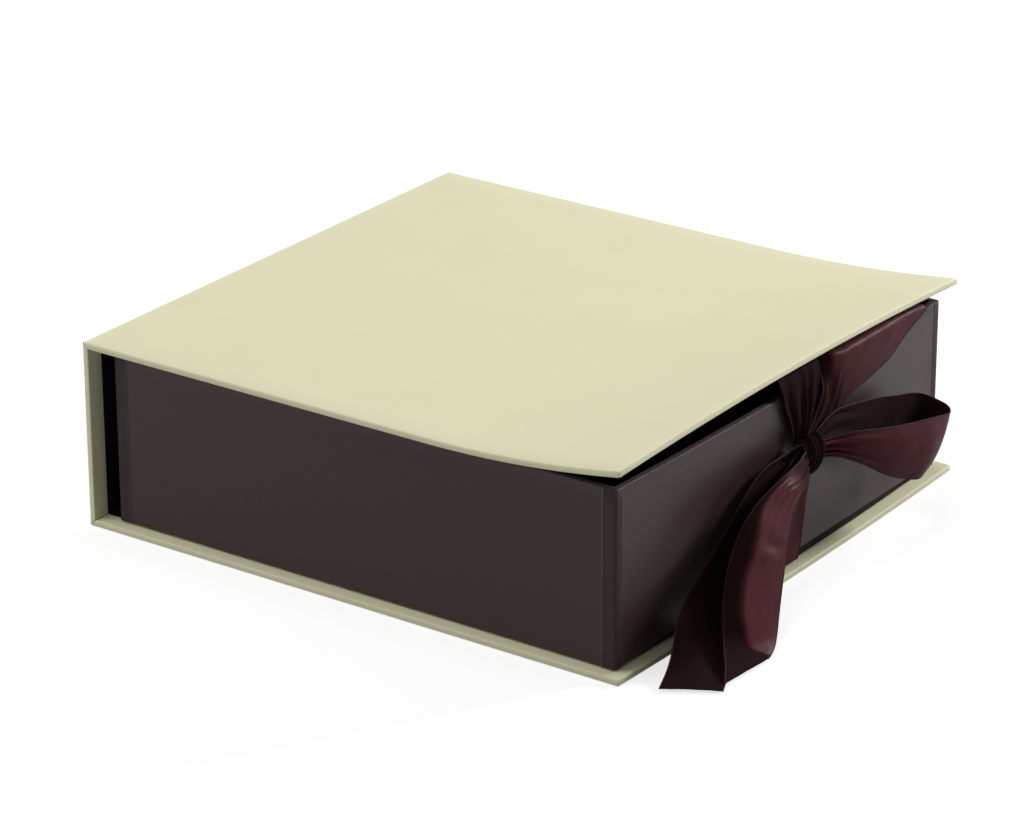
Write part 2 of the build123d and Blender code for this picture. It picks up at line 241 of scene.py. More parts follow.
@dataclass(frozen=True)
class PaperFinish:
    """Paper drawn tight over board: fibres, faint clouds, worn folds and doubled or lined parts.

    The worn parts are those with the attribute wear, and the doubled or lined ones have folded.
    """

    name: str
    colour: Triple
    cloud_colour: Triple
    worn_colour: Triple
    roughness: float
    gloss: float
    folded_colour: Triple | None = None
    fibre_stretch: Triple = (1.0, 0.35, 1.0)
    fibres_per_metre: float = 2600.0
    fibre_tint: float = 0.35
    least_wear: float = 0.35
    fibre_relief: float = 0.02 * MM
    clouds_per_metre: float = 38.0
    waves_per_metre: float = 26.0
    wave_relief: float = 0.12 * MM
    smoothest: float = -0.04
    roughest: float = 0.05
    worn_roughness: float = 1.2
    folded_roughness: float = 0.25

    def build(self) -> Material:
        """Makes the material.

        Returns:
            The material.
        """
        shader = Shader(self.name)
        fibres = shader.speckle(shader.place(self.fibre_stretch), self.fibres_per_metre, detail=4.0)
        clouds = shader.speckle(shader.place(), self.clouds_per_metre, detail=4.0)
        waves = shader.speckle(shader.place(), self.waves_per_metre, detail=1.0)
        tint = shader.mixed(shader.spread(clouds, 0.0, 1.0), self.colour, self.cloud_colour)
        tint = shader.mixed(shader.spread(fibres, 0.0, self.fibre_tint), tint, self.worn_colour)
        broken = shader.spread(fibres, self.least_wear, 1.0)
        wear = shader.combined("MULTIPLY", shader.attribute("wear"), broken)
        tint = shader.mixed(wear, tint, self.worn_colour)
        rough = shader.spread(clouds, self.roughness + self.smoothest, self.roughness + self.roughest)
        rough = shader.raised(rough, wear, self.worn_roughness)
        if self.folded_colour:
            folded = shader.attribute("folded")
            tint = shader.mixed(folded, tint, self.folded_colour)
            rough = shader.raised(rough, folded, self.folded_roughness)
        relief = shader.bump(fibres, self.fibre_relief, shader.bump(waves, self.wave_relief))
        shader.surface_takes(base_color=tint, roughness=rough, normal=relief, specular_ior_level=self.gloss)
        return shader.material


@dataclass(frozen=True)
class CardFinish:
    """Uncovered card or board, with flecks of fibre through it."""

    name: str
    colour: Triple
    fleck_colour: Triple
    roughness: float = 0.85
    relief: float = 0.04 * MM
    gloss: float = 0.25
    fleck_stretch: Triple = (1.0, 0.3, 1.0)
    flecks_per_metre: float = 900.0
    fleck_tint: float = 0.6
    clouds_per_metre: float = 90.0
    cloud_tint: float = 0.3

    def build(self) -> Material:
        """Makes the material.

        Returns:
            The material.
        """
        shader = Shader(self.name)
        flecks = shader.speckle(shader.place(self.fleck_stretch), self.flecks_per_metre, detail=5.0)
        clouds = shader.speckle(shader.place(), self.clouds_per_metre, detail=3.0)
        flecked = shader.spread(flecks, 0.0, self.fleck_tint, start=0.5, stop=0.75)
        share = shader.combined("ADD", flecked, shader.spread(clouds, 0.0, self.cloud_tint))
        tint = shader.mixed(share, self.colour, self.fleck_colour)
        shader.surface_takes(base_color=tint, normal=shader.bump(flecks, self.relief),
                             roughness=self.roughness, specular_ior_level=self.gloss)
        return shader.material


@dataclass(frozen=True)
class SatinFinish:
    """Woven satin ribbon: smooth floats along its length, a matt back and firm selvages.

    The parts with the attribute back take its dark colour: on the matt back, and as painted shade on
    parts of the face. The ribbon's edges have selvage.
    """

    name: str
    colour: Triple
    deep_colour: Triple
    # The back colour is far darker than the face: partly the matt back's own colour, partly painted shade.
    back_and_shade_colour: Triple
    roughness: float = 0.42
    sheen: float = 0.045
    back_sheen: float = 0.015
    lengthwise: float = 0.5
    float_stretch: Triple = (1.0, 0.06, 1.0)
    floats_per_metre: float = 5200.0
    float_tint: float = 0.55
    float_relief: float = 0.015 * MM
    slub_stretch: Triple = (1.0, 0.25, 1.0)
    slubs_per_metre: float = 420.0
    slub_tint: float = 0.3
    slub_relief: float = 0.03 * MM
    smoothest: float = -0.05
    roughest: float = 0.07
    selvage_roughness: float = 0.2
    back_roughness: float = 0.3

    def build(self) -> Material:
        """Makes the material.

        Returns:
            The material.
        """
        shader = Shader(self.name)
        floats = shader.speckle(shader.cloth(self.float_stretch), self.floats_per_metre, detail=2.0)
        slubs = shader.speckle(shader.cloth(self.slub_stretch), self.slubs_per_metre, detail=3.0)
        # The attribute back marks the matt back and the face's painted shade, which both take the dark back
        # colour.
        selvage, back = shader.attribute("selvage"), shader.attribute("back")
        tint = shader.mixed(shader.spread(floats, 0.0, self.float_tint), self.colour, self.deep_colour)
        tint = shader.mixed(shader.spread(slubs, 0.0, self.slub_tint), tint, self.deep_colour)
        tint = shader.mixed(selvage, tint, self.deep_colour)
        rough = shader.spread(slubs, self.roughness + self.smoothest, self.roughness + self.roughest)
        rough = shader.raised(rough, selvage, self.selvage_roughness)
        relief = shader.bump(floats, self.float_relief, shader.bump(slubs, self.slub_relief))
        along = shader.add("ShaderNodeTangent", direction_type="UV_MAP", uv_map="cloth")
        # The face's own number also stands on the socket, for a viewer that leaves out the link.
        shader.surface_takes(specular_ior_level=self.sheen)
        shader.surface_takes(
            base_color=shader.mixed(back, tint, self.back_and_shade_colour),
            roughness=shader.raised(rough, back, self.back_roughness),
            specular_ior_level=shader.spread(back, self.sheen, self.back_sheen, start=0.0, stop=1.0),
            normal=relief, tangent=along.outputs["Tangent"], anisotropic=self.lengthwise)
        return shader.material


@dataclass
class Finishes:
    """Every finish on the box, built once."""

    cream: Material = field(default_factory=PaperFinish(
        "cream_paper", (0.77, 0.75, 0.50), (0.745, 0.725, 0.48), (0.80, 0.79, 0.60),
        roughness=0.62, gloss=0.35, folded_colour=(0.009, 0.0068, 0.0068)).build)
    wrap: Material = field(default_factory=PaperFinish(
        "brown_wrap_paper", (0.036, 0.0165, 0.0185), (0.031, 0.0145, 0.016), (0.06, 0.036, 0.034),
        roughness=0.35, gloss=0.42, folded_colour=(0.016, 0.004, 0.006)).build)
    lining: Material = field(default_factory=PaperFinish(
        "dark_lining_paper", (0.010, 0.0075, 0.0075), (0.008, 0.006, 0.006), (0.03, 0.024, 0.021),
        roughness=0.7, gloss=0.15).build)
    board: Material = field(default_factory=CardFinish(
        "greyboard", (0.34, 0.32, 0.28), (0.2, 0.18, 0.16)).build)
    # Near-black board: on the tray's front wall it is painted shade, seen through the gap under the wrap's
    # foot.
    dark_board: Material = field(default_factory=CardFinish(
        "near_black_board", (0.006, 0.005, 0.005), (0.009, 0.007, 0.006), roughness=0.95).build)
    # The corner stays are near black as painted shade, where they show in the gap under the front wall's
    # wrap.
    stay: Material = field(default_factory=CardFinish(
        "stay_painted_shade", (0.008, 0.006, 0.006), (0.012, 0.009, 0.008), roughness=0.9).build)
    card: Material = field(default_factory=CardFinish(
        "divider_card", (0.045, 0.024, 0.018), (0.075, 0.045, 0.032), roughness=0.7).build)
    pad: Material = field(default_factory=CardFinish(
        "pad_paper", (0.10, 0.05, 0.03), (0.16, 0.085, 0.05), roughness=0.5).build)
    satin: Material = field(default_factory=SatinFinish(
        "burgundy_satin", (0.088, 0.023, 0.028), (0.055, 0.012, 0.015), (0.02, 0.0085, 0.009)).build)
    thread: Material = field(default_factory=CardFinish(
        "selvage_thread", (0.04, 0.010, 0.013), (0.022, 0.006, 0.008), roughness=0.8, relief=0.02 * MM).build)


# Mesh helpers


def placed(name: str, mesh: bpy.types.Mesh) -> Piece:
    """Puts a mesh into the scene as an object at the origin.

    Args:
        name: The piece's name.
        mesh: Its mesh.

    Returns:
        The object.
    """
    piece = bpy.data.objects.new(name, mesh)
    bpy.context.scene.collection.objects.link(piece)
    return piece


def new_piece(name: str, points: list[Vector], faces: list[tuple[int, ...]], material: Material) -> Piece:
    """Makes an object from points and faces.

    Args:
        name: The piece's name.
        points: Places in metres.
        faces: Corner indices of each face.
        material: The finish.

    Returns:
        The object.
    """
    mesh = bpy.data.meshes.new(name)
    mesh.from_pydata([tuple(point) for point in points], [], faces)
    mesh.validate()
    mesh.materials.append(material)
    return placed(name, mesh)


def grid_faces(rows: int, columns: int, ring: bool = False) -> list[tuple[int, int, int, int]]:
    """Faces between the points of a grid that is written row by row.

    Args:
        rows: The number of rows.
        columns: The number of points in a row.
        ring: Whether the last row joins the first.

    Returns:
        Corner indices of each face.
    """
    faces = []
    for row in range(rows if ring else rows - 1):
        start, beyond = row * columns, (row + 1) % rows * columns
        faces += [
            (start + column, start + column + 1, beyond + column + 1, beyond + column)
            for column in range(columns - 1)
        ]
    return faces


def seat(piece: Piece, body: Body, slot: Slot, *nodes: str) -> None:
    """Puts a finished piece on its body and hides the nodes that it stands for.

    Args:
        piece: The piece.
        body: The rigid body that it rides on.
        slot: Its material slot; not used.
        nodes: The frame's nodes that it replaces.
    """
    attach(piece, body.value)
    if nodes:
        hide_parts(*nodes)
    log.info("%s rides on %s", piece.name, body.value)


def dress(node: str, material: Material) -> None:
    """Gives a carried-over node a finish.

    Args:
        node: The frame's node.
        material: The finish.
    """
    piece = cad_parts[node]
    piece.data.materials.clear()
    piece.data.materials.append(material)
    log.info("%s is dressed in %s", node, material.name)


def smooth(piece: Piece, angle_deg: float = 40.0) -> None:
    """Shades a piece smooth and keeps edges sharper than an angle."""
    piece.data.shade_smooth()
    piece.data.set_sharp_from_angle(angle=math.radians(angle_deg))


def apply_modifiers(piece: Piece) -> None:
    """Turns a piece's modified shape into its own plain mesh.

    Args:
        piece: The piece.
    """
    graph = bpy.context.evaluated_depsgraph_get()
    mesh = bpy.data.meshes.new_from_object(piece.evaluated_get(graph))
    old = piece.data
    piece.modifiers.clear()
    piece.data = mesh
    mesh.name = piece.name
    bpy.data.meshes.remove(old)


def thicken(piece: Piece, thickness: float, offset: float) -> None:
    """Gives a sheet its thickness.

    Args:
        piece: The sheet.
        thickness: How thick it becomes.
        offset: Which side it grows to: -1 is behind its faces, and 0 is both.
    """
    solidify = piece.modifiers.new("thickness", "SOLIDIFY")
    solidify.thickness = thickness
    solidify.offset = offset
    apply_modifiers(piece)


def store(piece: Piece, name: str, values: Iterable[float]) -> None:
    """Stores numbers on a piece's points, in the order of the points."""
    attribute = piece.data.attributes.new(name, "FLOAT", "POINT")
    attribute.data.foreach_set("value", list(values))


def places(piece: Piece) -> list[Vector]:
    """The places of a piece's points."""
    return [vertex.co for vertex in piece.data.vertices]


def smooth_step(low: float, high: float, value: float) -> float:
    """0 below one value and 1 above another, with an even rise between them."""
    share = min(max((value - low) / (high - low), 0.0), 1.0)
    return share * share * (3 - 2 * share)


def bell(distance: float, width: float) -> float:
    """1 at a distance of 0, falling to nothing a few widths away."""
    return math.exp(-((distance / width) ** 2))


@dataclass
class SlabCut:
    """A flat slab with rounded edges, cut into cells so that it can be bent."""

    low: Vector
    high: Vector
    rounding: float = 0.45 * MM
    step_x: float = 4.0 * MM
    step_y: float = 9.0 * MM
    segments: int = 3
    merge: float = 1e-7

    def build(self, keep_square: Callable[[Vector], bool] | None = None) -> bmesh.types.BMesh:
        """Makes the slab.

        Args:
            keep_square: Says of an edge's middle that it isn't rounded.

        Returns:
            The slab's mesh, for bending and painting.
        """
        mesh = bmesh.new()
        bmesh.ops.create_cube(mesh, size=1.0)
        size, middle = self.high - self.low, (self.high + self.low) / 2
        for vertex in mesh.verts:
            vertex.co = Vector([middle[i] + vertex.co[i] * size[i] for i in range(3)])
        edges = [
            edge for edge in mesh.edges
            if keep_square is None or not keep_square((edge.verts[0].co + edge.verts[1].co) / 2)
        ]
        bmesh.ops.bevel(mesh, geom=edges, offset=self.rounding, segments=self.segments,
                        profile=0.5, affect="EDGES")
        for axis, step in ((0, self.step_x), (1, self.step_y)):
            count = max(1, round(size[axis] / step))
            normal = Vector((1, 0, 0)) if axis == 0 else Vector((0, 1, 0))
            for index in range(1, count):
                point = middle.copy()
                point[axis] = self.low[axis] + size[axis] * index / count
                geometry = [*mesh.verts, *mesh.edges, *mesh.faces]
                bmesh.ops.bisect_plane(mesh, geom=geometry, plane_co=point, plane_no=normal, dist=self.merge)
        return mesh


def piece_from(mesh: bmesh.types.BMesh, name: str, material: Material) -> Piece:
    """Turns an edited mesh into a smooth object.

    Args:
        mesh: The mesh, which is freed.
        name: The piece's name.
        material: The finish.

    Returns:
        The object.
    """
    bmesh.ops.recalc_face_normals(mesh, faces=mesh.faces)
    data = bpy.data.meshes.new(name)
    mesh.to_mesh(data)
    mesh.free()
    data.materials.append(material)
    piece = placed(name, data)
    smooth(piece)
    return piece


class Shaper(Graph):
    """A Geometry Nodes tree with named sizes, ended by Realize Instances and Set Material."""

    def __init__(self, name: str) -> None:
        """Starts a tree with one geometry in and one out.

        Args:
            name: The tree's name.
        """
        super().__init__(bpy.data.node_groups.new(name, "GeometryNodeTree"))
        for side in ("INPUT", "OUTPUT"):
            self.tree.interface.new_socket("Geometry", in_out=side, socket_type="NodeSocketGeometry")
        self.start = self.add("NodeGroupInput")
        self.end = self.add("NodeGroupOutput")
        self.given = self.start.outputs["Geometry"]

    def number(self, name: str, value: float) -> Socket:
        """Adds a named size.

        Args:
            name: The input's name.
            value: Its usual value.

        Returns:
            The socket that carries it.
        """
        socket = self.tree.interface.new_socket(name, in_out="INPUT", socket_type="NodeSocketFloat")
        socket.default_value = value
        return self.start.outputs[name]

    def finish(self, geometry: Socket, material: Material) -> None:
        """Ends the tree.

        Args:
            geometry: What the tree has made.
            material: Its finish.
        """
        real = self.add("GeometryNodeRealizeInstances", {"Geometry": geometry}).outputs["Geometry"]
        dressed = self.add("GeometryNodeSetMaterial", {"Geometry": real, "Material": material})
        self.fill(self.end.inputs["Geometry"], dressed.outputs["Geometry"])

    def shape(self, piece: Piece, sizes: dict[str, float]) -> None:
        """Runs the tree on a piece and keeps the result as its plain mesh.

        Args:
            piece: The piece to shape.
            sizes: Values of the named inputs.
        """
        modifier = piece.modifiers.new("shape", "NODES")
        modifier.node_group = self.tree
        for item in self.tree.interface.items_tree:
            if item.in_out == "INPUT" and item.name in sizes:
                modifier[item.identifier] = sizes[item.name]
        apply_modifiers(piece)


# The case


@dataclass
class CaseSizes:
    """Sizes of the hinged case, read from the frame or repeated from its design."""

    leaf: float = 2.4 * MM
    curl_run: float = 77.4 * MM
    near_rise: float = 6.9 * MM
    middle_rise: float = 8.9 * MM
    far_rise: float = 5.3 * MM
    base_bow: float = 1.9 * MM
    crease_inset: float = 0.12 * MM
    tip_cut: float = 0.5 * MM
    lining_step: float = 0.1 * MM
    flat_cell: float = 20.0 * MM
    bowed_cell: float = 8.0 * MM
    x_spine: float = field(init=False)
    x_fore: float = field(init=False)
    y_end: float = field(init=False)
    height: float = field(init=False)

    def __post_init__(self) -> None:
        """Reads the outer planes from the frame's own leaves."""
        self.x_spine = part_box("spine_cover_paper")[0].x
        self.x_fore, self.y_end = -self.x_spine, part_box("base_cover_paper")[1].y
        self.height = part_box("spine_cover_paper")[1].z + self.crease_inset

    def rise(self, y: float) -> float:
        """How far the lid's fore edge rises.

        Args:
            y: Place along the fore edge.

        Returns:
            The rise there.
        """
        share = y / self.y_end
        tilt = (self.far_rise - self.near_rise) / 2
        crown = (self.near_rise + self.far_rise) / 2 - self.middle_rise
        return self.middle_rise + tilt * share + crown * share**2

    def mitre(self, depth: float) -> float:
        """How far in from the spine a leaf's mitred edge lies at a depth under its outer face."""
        return self.x_spine + max(self.tip_cut, self.crease_inset + depth)

    def curled(self, point: Vector) -> Vector:
        """Bends a flat lid to its curl.

        Args:
            point: A place on the flat lid.

        Returns:
            The place on the curled lid.
        """
        x_curl = self.x_fore - self.curl_run
        if point.x <= x_curl:
            return point
        rise = self.rise(point.y)
        radius = (self.curl_run**2 + rise**2) / (2 * rise)
        sweep = math.asin(self.curl_run / radius) * (point.x - x_curl) / self.curl_run
        under = self.height - self.leaf
        bend = radius - (point.z - under)
        return Vector((x_curl + bend * math.sin(sweep), point.y, under + radius - bend * math.cos(sweep)))


@dataclass
class Case:
    """The three covered leaves of the case and the paper over its two creases."""

    finishes: Finishes
    sizes: CaseSizes = field(default_factory=CaseSizes)
    crease_reach: float = 4.5 * MM
    crease_radius: float = 0.55 * MM
    crease_proud: float = 0.035 * MM
    crease_paper: float = 0.1 * MM
    crease_end_gap: float = 0.3 * MM
    crease_middle_share: float = 0.6
    crease_lip_share: float = 0.3
    crease_rows: int = 40
    crease_turns: int = 8
    crease_wear: float = 0.6
    wear_width: float = 0.8 * MM
    blend_reach: float = 0.6 * MM

    def build(self) -> None:
        """Builds the leaves and dresses the boards inside them."""
        self.cover_leaf("lid_cover", Body.LID, "lid_cover_paper", self.lid_slab())
        self.cover_leaf("base_cover", Body.BASE, "base_cover_paper", self.base_slab())
        self.cover_leaf("spine_cover", Body.SPINE, "spine_cover_paper", self.spine_slab())
        for leaf in ("base", "spine", "lid"):
            dress(f"{leaf}_lining_paper", self.finishes.lining)
            dress(f"{leaf}_board", self.finishes.dark_board)
        self.crease("cover_paper_top_crease", self.sizes.height, -1.0, Body.SPINE, Body.LID)
        self.crease("cover_paper_foot_crease", 0.0, 1.0, Body.BASE, Body.SPINE)

    def cover_leaf(self, name: str, body: Body, node: str, mesh: bmesh.types.BMesh) -> None:
        """Finishes one leaf's outer skin and seats it on its body.

        Args:
            name: The piece's name.
            body: The leaf's body.
            node: The cover that the skin stands for.
            mesh: The skin.
        """
        piece = piece_from(mesh, name, self.finishes.cream)
        store(piece, "wear", (0.0 for _ in places(piece)))
        seat(piece, body, Slot.CREAM, node)

    def beside_spine(self, middle: Vector) -> bool:
        """Whether an edge of the lid or the base is one that meets the spine."""
        return middle.x < self.sizes.x_spine + self.sizes.leaf

    def mitred(self, place: Vector, depth: float) -> float:
        """Where a point of the lid or the base stands from the spine once its end is mitred.

        Args:
            place: The point.
            depth: How deep it lies under the leaf's outer face.

        Returns:
            Its place from spine to fore edge.
        """
        sizes = self.sizes
        if place.x < sizes.x_spine + sizes.leaf + sizes.crease_inset:
            return max(place.x, sizes.mitre(depth))
        return place.x

    def lid_slab(self) -> bmesh.types.BMesh:
        """The lid's outer skin, bent to its curl.

        Returns:
            The skin's mesh.
        """
        sizes = self.sizes
        low = Vector((sizes.x_spine, -sizes.y_end, sizes.height - sizes.leaf + sizes.lining_step))
        high = Vector((sizes.x_fore, sizes.y_end, sizes.height))
        mesh = SlabCut(low, high).build(self.beside_spine)
        for vertex in mesh.verts:
            vertex.co.x = self.mitred(vertex.co, sizes.height - vertex.co.z)
            vertex.co = sizes.curled(vertex.co)
        return mesh

    def base_slab(self) -> bmesh.types.BMesh:
        """The base's outer skin, with its bowed fore edge.

        Returns:
            The skin's mesh.
        """
        sizes = self.sizes
        low = Vector((sizes.x_spine, -sizes.y_end, 0))
        high = Vector((sizes.x_fore, sizes.y_end, sizes.leaf - sizes.lining_step))
        slab = SlabCut(low, high, step_x=sizes.flat_cell, step_y=sizes.bowed_cell)
        mesh = slab.build(self.beside_spine)
        for vertex in mesh.verts:
            vertex.co.x = self.mitred(vertex.co, vertex.co.z)
            if vertex.co.x > 0:
                bow = sizes.base_bow * (1 - (vertex.co.y / sizes.y_end) ** 2)
                vertex.co.x += bow * vertex.co.x / sizes.x_fore
        return mesh

    def spine_slab(self) -> bmesh.types.BMesh:
        """The spine's outer skin, mitred at its foot and its head.

        Returns:
            The skin's mesh.
        """
        sizes = self.sizes
        low = Vector((sizes.x_spine, -sizes.y_end, 0))
        high = Vector((sizes.x_spine + sizes.leaf - sizes.lining_step, sizes.y_end, sizes.height))
        slab = SlabCut(low, high, step_x=sizes.flat_cell, step_y=sizes.flat_cell)
        mesh = slab.build(lambda middle: min(middle.z, sizes.height - middle.z) < sizes.leaf / 2)
        for vertex in mesh.verts:
            depth = sizes.mitre(vertex.co.x - sizes.x_spine) - sizes.x_spine
            vertex.co.z = min(max(vertex.co.z, depth), sizes.height - depth)
        return mesh

    def crease_section(self) -> list[tuple[float, float]]:
        """The crease's section, from the leaf over the outer edge to the spine.

        Returns:
            Pairs of a distance from the spine's outer face and one from the leaf's.
        """
        reach, radius, proud = self.crease_reach, self.crease_radius, self.crease_proud
        lip, middle = (reach, -self.crease_lip_share * proud), (reach * self.crease_middle_share, -proud)
        start = [lip, middle, (radius, -proud)]
        bend = []
        for turn in range(1, self.crease_turns):
            angle = math.radians(90.0 * turn / self.crease_turns)
            out = radius + proud
            bend.append((radius - out * math.sin(angle), radius - out * math.cos(angle)))
        return start + bend + [(along, across) for across, along in reversed(start)]

    def crease(self, name: str, height: float, side: float, first: Body, second: Body) -> None:
        """The cover paper bent round an outer edge of the case, joined across its hinge.

        Args:
            name: The piece's name.
            height: The edge's height.
            side: 1 where the spine rises from the edge, and -1 where it hangs from it.
            first: The body nearer the table.
            second: The body that turns on it.
        """
        x_spine, y_start = self.sizes.x_spine, -self.sizes.y_end + self.crease_end_gap
        section, rows = self.crease_section(), self.crease_rows
        points = [
            Vector((x_spine + across, y_start - 2 * y_start * row / rows, height + side * along))
            for row in range(rows + 1) for across, along in section
        ]
        faces = grid_faces(rows + 1, len(section))
        if side < 0:
            faces = [tuple(reversed(face)) for face in faces]
        piece = new_piece(name, points, faces, self.finishes.cream)
        thicken(piece, self.crease_paper, -1.0)
        smooth(piece, angle_deg=60.0)
        store(piece, "wear", (
            self.crease_wear * bell(math.hypot(place.x - x_spine, place.z - height), self.wear_width)
            for place in places(piece)))
        self.line_inside(piece, len(points), Vector((-1, 0, -side)))
        edge, step = Vector((x_spine, 0, height)), Vector((-self.blend_reach, 0, self.blend_reach * side))
        if second is not Body.LID:
            step = -step
        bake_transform(piece)
        log.info("%s joins %s and %s", name, first.value, second.value)

    def line_inside(self, piece: Piece, layer: int, outward: Vector) -> None:
        """Marks the layer of a crease that faces into the case, which shows the dark lining.

        Args:
            piece: The crease, a sheet with two layers of points.
            layer: The number of points in each layer.
            outward: The direction out of the case.
        """
        points = places(piece)
        first_is_inner = points[0].dot(outward) < points[layer].dot(outward)
        store(piece, "folded", (float((index < layer) == first_is_inner) for index in range(len(points))))


# The tray


@dataclass(frozen=True)
class OutlinePoint:
    """A point on the tray's outline, the way out from it, and how much flap lies there."""

    place: Vector
    outward: Vector
    flap: float = 0.0


@dataclass
class TraySizes:
    """Sizes of the tray, read from the frame or repeated from its design."""

    corner: float = 0.8 * MM
    rim: float = 2.55 * MM
    rim_round: float = 0.55 * MM
    bulge: float = 2.4 * MM
    turn_in: float = 15.0 * MM
    paper: float = 0.15 * MM
    flap_wide: float = 4.8 * MM
    flap_front: float = 3.0 * MM
    flap_thick: float = 0.2 * MM
    foot_gap: float = 3.3 * MM
    foot_gap_far: float = 1.2 * MM
    low: Vector = field(init=False)
    high: Vector = field(init=False)

    def __post_init__(self) -> None:
        """Reads the wrap's outer planes from the frame."""
        self.low, self.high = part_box("tray_wrap_paper")

    def front(self, y: float) -> float:
        """Where the bowed front wall stands at a place across it."""
        middle, half = (self.low.y + self.high.y) / 2, (self.high.y - self.low.y) / 2
        return self.high.x - self.bulge * ((y - middle) / half) ** 2

    def foot(self, y: float) -> float:
        """How far the front wall's wrap stops above the tray's foot: nothing at the near end.

        Args:
            y: Place across the front wall.

        Returns:
            The gap there.
        """
        share = 2 * (y - self.low.y) / (self.high.y - self.low.y) - 1
        tilt = self.foot_gap_far / 2
        return max(self.foot_gap + tilt * share + (tilt - self.foot_gap) * share**2, 0.0)


@dataclass
class Tray:
    """The dark tray: walls, wrap with its corner flaps, lining and corner stays."""

    finishes: Finishes
    sizes: TraySizes = field(default_factory=TraySizes)
    waviness: float = 0.05 * MM
    waves_per_metre: float = 22.0
    rim_wear_share: float = 0.5
    rim_wear_width: float = 0.6 * MM
    face_depth: float = 0.7 * MM
    fine_step: float = 0.3 * MM
    fine_reach_share: float = 1.3
    flap_ramp: float = 0.4 * MM
    wall_steps: int = 24
    back_steps: int = 12
    corner_steps: int = 7
    height_steps: int = 14
    rim_steps: int = 5
    lining_steps: int = 4
    ridge_share: float = 0.35
    ridges: tuple[tuple[float, float], ...] = ((0.32, 0.35 * MM), (0.82, 0.4 * MM))

    def build(self) -> None:
        """Builds the wrap and dresses the tray's nodes."""
        self.build_wrap()
        dress("tray_lining_paper", self.finishes.lining)
        # The corner stays take near-black card, painted shade where they show under the front wall's wrap.
        dress("tray_corner_stays", self.finishes.stay)
        # The front wall's board is near black as painted shade in the gap under the wrap's foot.
        dress("tray_front_wall", self.finishes.dark_board)
        for side in ("back_wall", "near_wall", "far_wall", "floor"):
            dress(f"tray_{side}", self.finishes.board)

    def outline(self) -> list[OutlinePoint]:
        """The tray's outline, seen from above, starting at its near back corner.

        Returns:
            Points right round the tray.
        """
        sizes = self.sizes
        low, high, r = sizes.low, sizes.high, sizes.corner
        front, across = high.x - sizes.bulge, high.y - low.y - 2 * r
        points = self.wall(Vector((low.x + r, low.y, 0)), Vector((front - r, low.y, 0)), Vector((0, -1, 0)))
        points += self.turn(Vector((front - r, low.y + r, 0)), -90.0)
        for place, flap in self.run(across, sizes.flap_front):
            y = low.y + r + place
            points.append(OutlinePoint(Vector((sizes.front(y), y, 0)), Vector((1, 0, 0)), flap))
        points += self.turn(Vector((front - r, high.y - r, 0)), 0.0)
        points += self.wall(Vector((front - r, high.y, 0)), Vector((low.x + r, high.y, 0)), Vector((0, 1, 0)))
        points += self.turn(Vector((low.x + r, high.y - r, 0)), 90.0)
        for step in range(1, self.back_steps):
            y = high.y - r - across * step / self.back_steps
            points.append(OutlinePoint(Vector((low.x, y, 0)), Vector((-1, 0, 0))))
        return points + self.turn(Vector((low.x + r, low.y + r, 0)), 180.0)

    def turn(self, centre: Vector, start_deg: float) -> list[OutlinePoint]:
        """A rounded corner, a quarter turn.

        Args:
            centre: The middle of the rounding.
            start_deg: The angle that it starts at.

        Returns:
            The corner's points.
        """
        points = []
        for step in range(self.corner_steps + 1):
            angle = math.radians(start_deg + 90.0 * step / self.corner_steps)
            outward = Vector((math.cos(angle), math.sin(angle), 0))
            points.append(OutlinePoint(centre + outward * self.sizes.corner, outward, 1.0))
        return points

    def wall(self, start: Vector, end: Vector, outward: Vector) -> list[OutlinePoint]:
        """A straight wall with a paper flap at both of its ends.

        Args:
            start: Where it starts.
            end: Where it ends.
            outward: The way out from it.

        Returns:
            The wall's points, without its two ends.
        """
        length, along = (end - start).length, (end - start).normalized()
        return [
            OutlinePoint(start + along * place, outward, flap)
            for place, flap in self.run(length, self.sizes.flap_wide)
        ]

    def run(self, length: float, flap_wide: float) -> list[tuple[float, float]]:
        """Places along a wall, close together at both ends, and how much flap lies at each.

        Args:
            length: The wall's length between its corners' curves.
            flap_wide: How far the flaps reach from the corners.

        Returns:
            Pairs of a place and the flap's share there, with the flap's fine ridges.
        """
        fine, count = self.fine_step, self.wall_steps
        steps = int(flap_wide * self.fine_reach_share / fine)
        ends = [fine * step for step in range(1, steps)]
        inner = [steps * fine + (length - 2 * steps * fine) * step / count for step in range(count + 1)]
        run = []
        for place in ends + inner + [length - place for place in reversed(ends)]:
            inset = min(place, length - place)
            flap = min(max((flap_wide - inset) / self.flap_ramp, 0.0), 1.0)
            ridges = sum(bell(inset - flap_wide * share, width) for share, width in self.ridges)
            run.append((place, flap * (1 + self.ridge_share * ridges)))
        return run

    def profile(self) -> list[Triple]:
        """The wrap's section, up the wall, over the rim and down inside.

        Returns:
            The inset, the height, and how much flap shows, point by point.
        """
        sizes, count = self.sizes, self.rim_steps
        top, foot, r = sizes.high.z, sizes.low.z, sizes.rim_round
        section = [
            (0.0, foot + (top - r - foot) * step / self.height_steps, 1.0)
            for step in range(self.height_steps + 1)
        ]
        angles = [math.radians(90.0 * step / count) for step in range(count + 1)]
        for step, angle in enumerate(angles[1:], 1):
            section.append((r - r * math.cos(angle), top - r + r * math.sin(angle), 1.0 - step / count))
        for angle in angles:
            section.append((sizes.rim - r + r * math.sin(angle), top - r + r * math.cos(angle), 0.0))
        return section + [
            (sizes.rim, top - r - (sizes.turn_in - r) * step / self.lining_steps, 0.0)
            for step in range(1, self.lining_steps + 1)
        ]

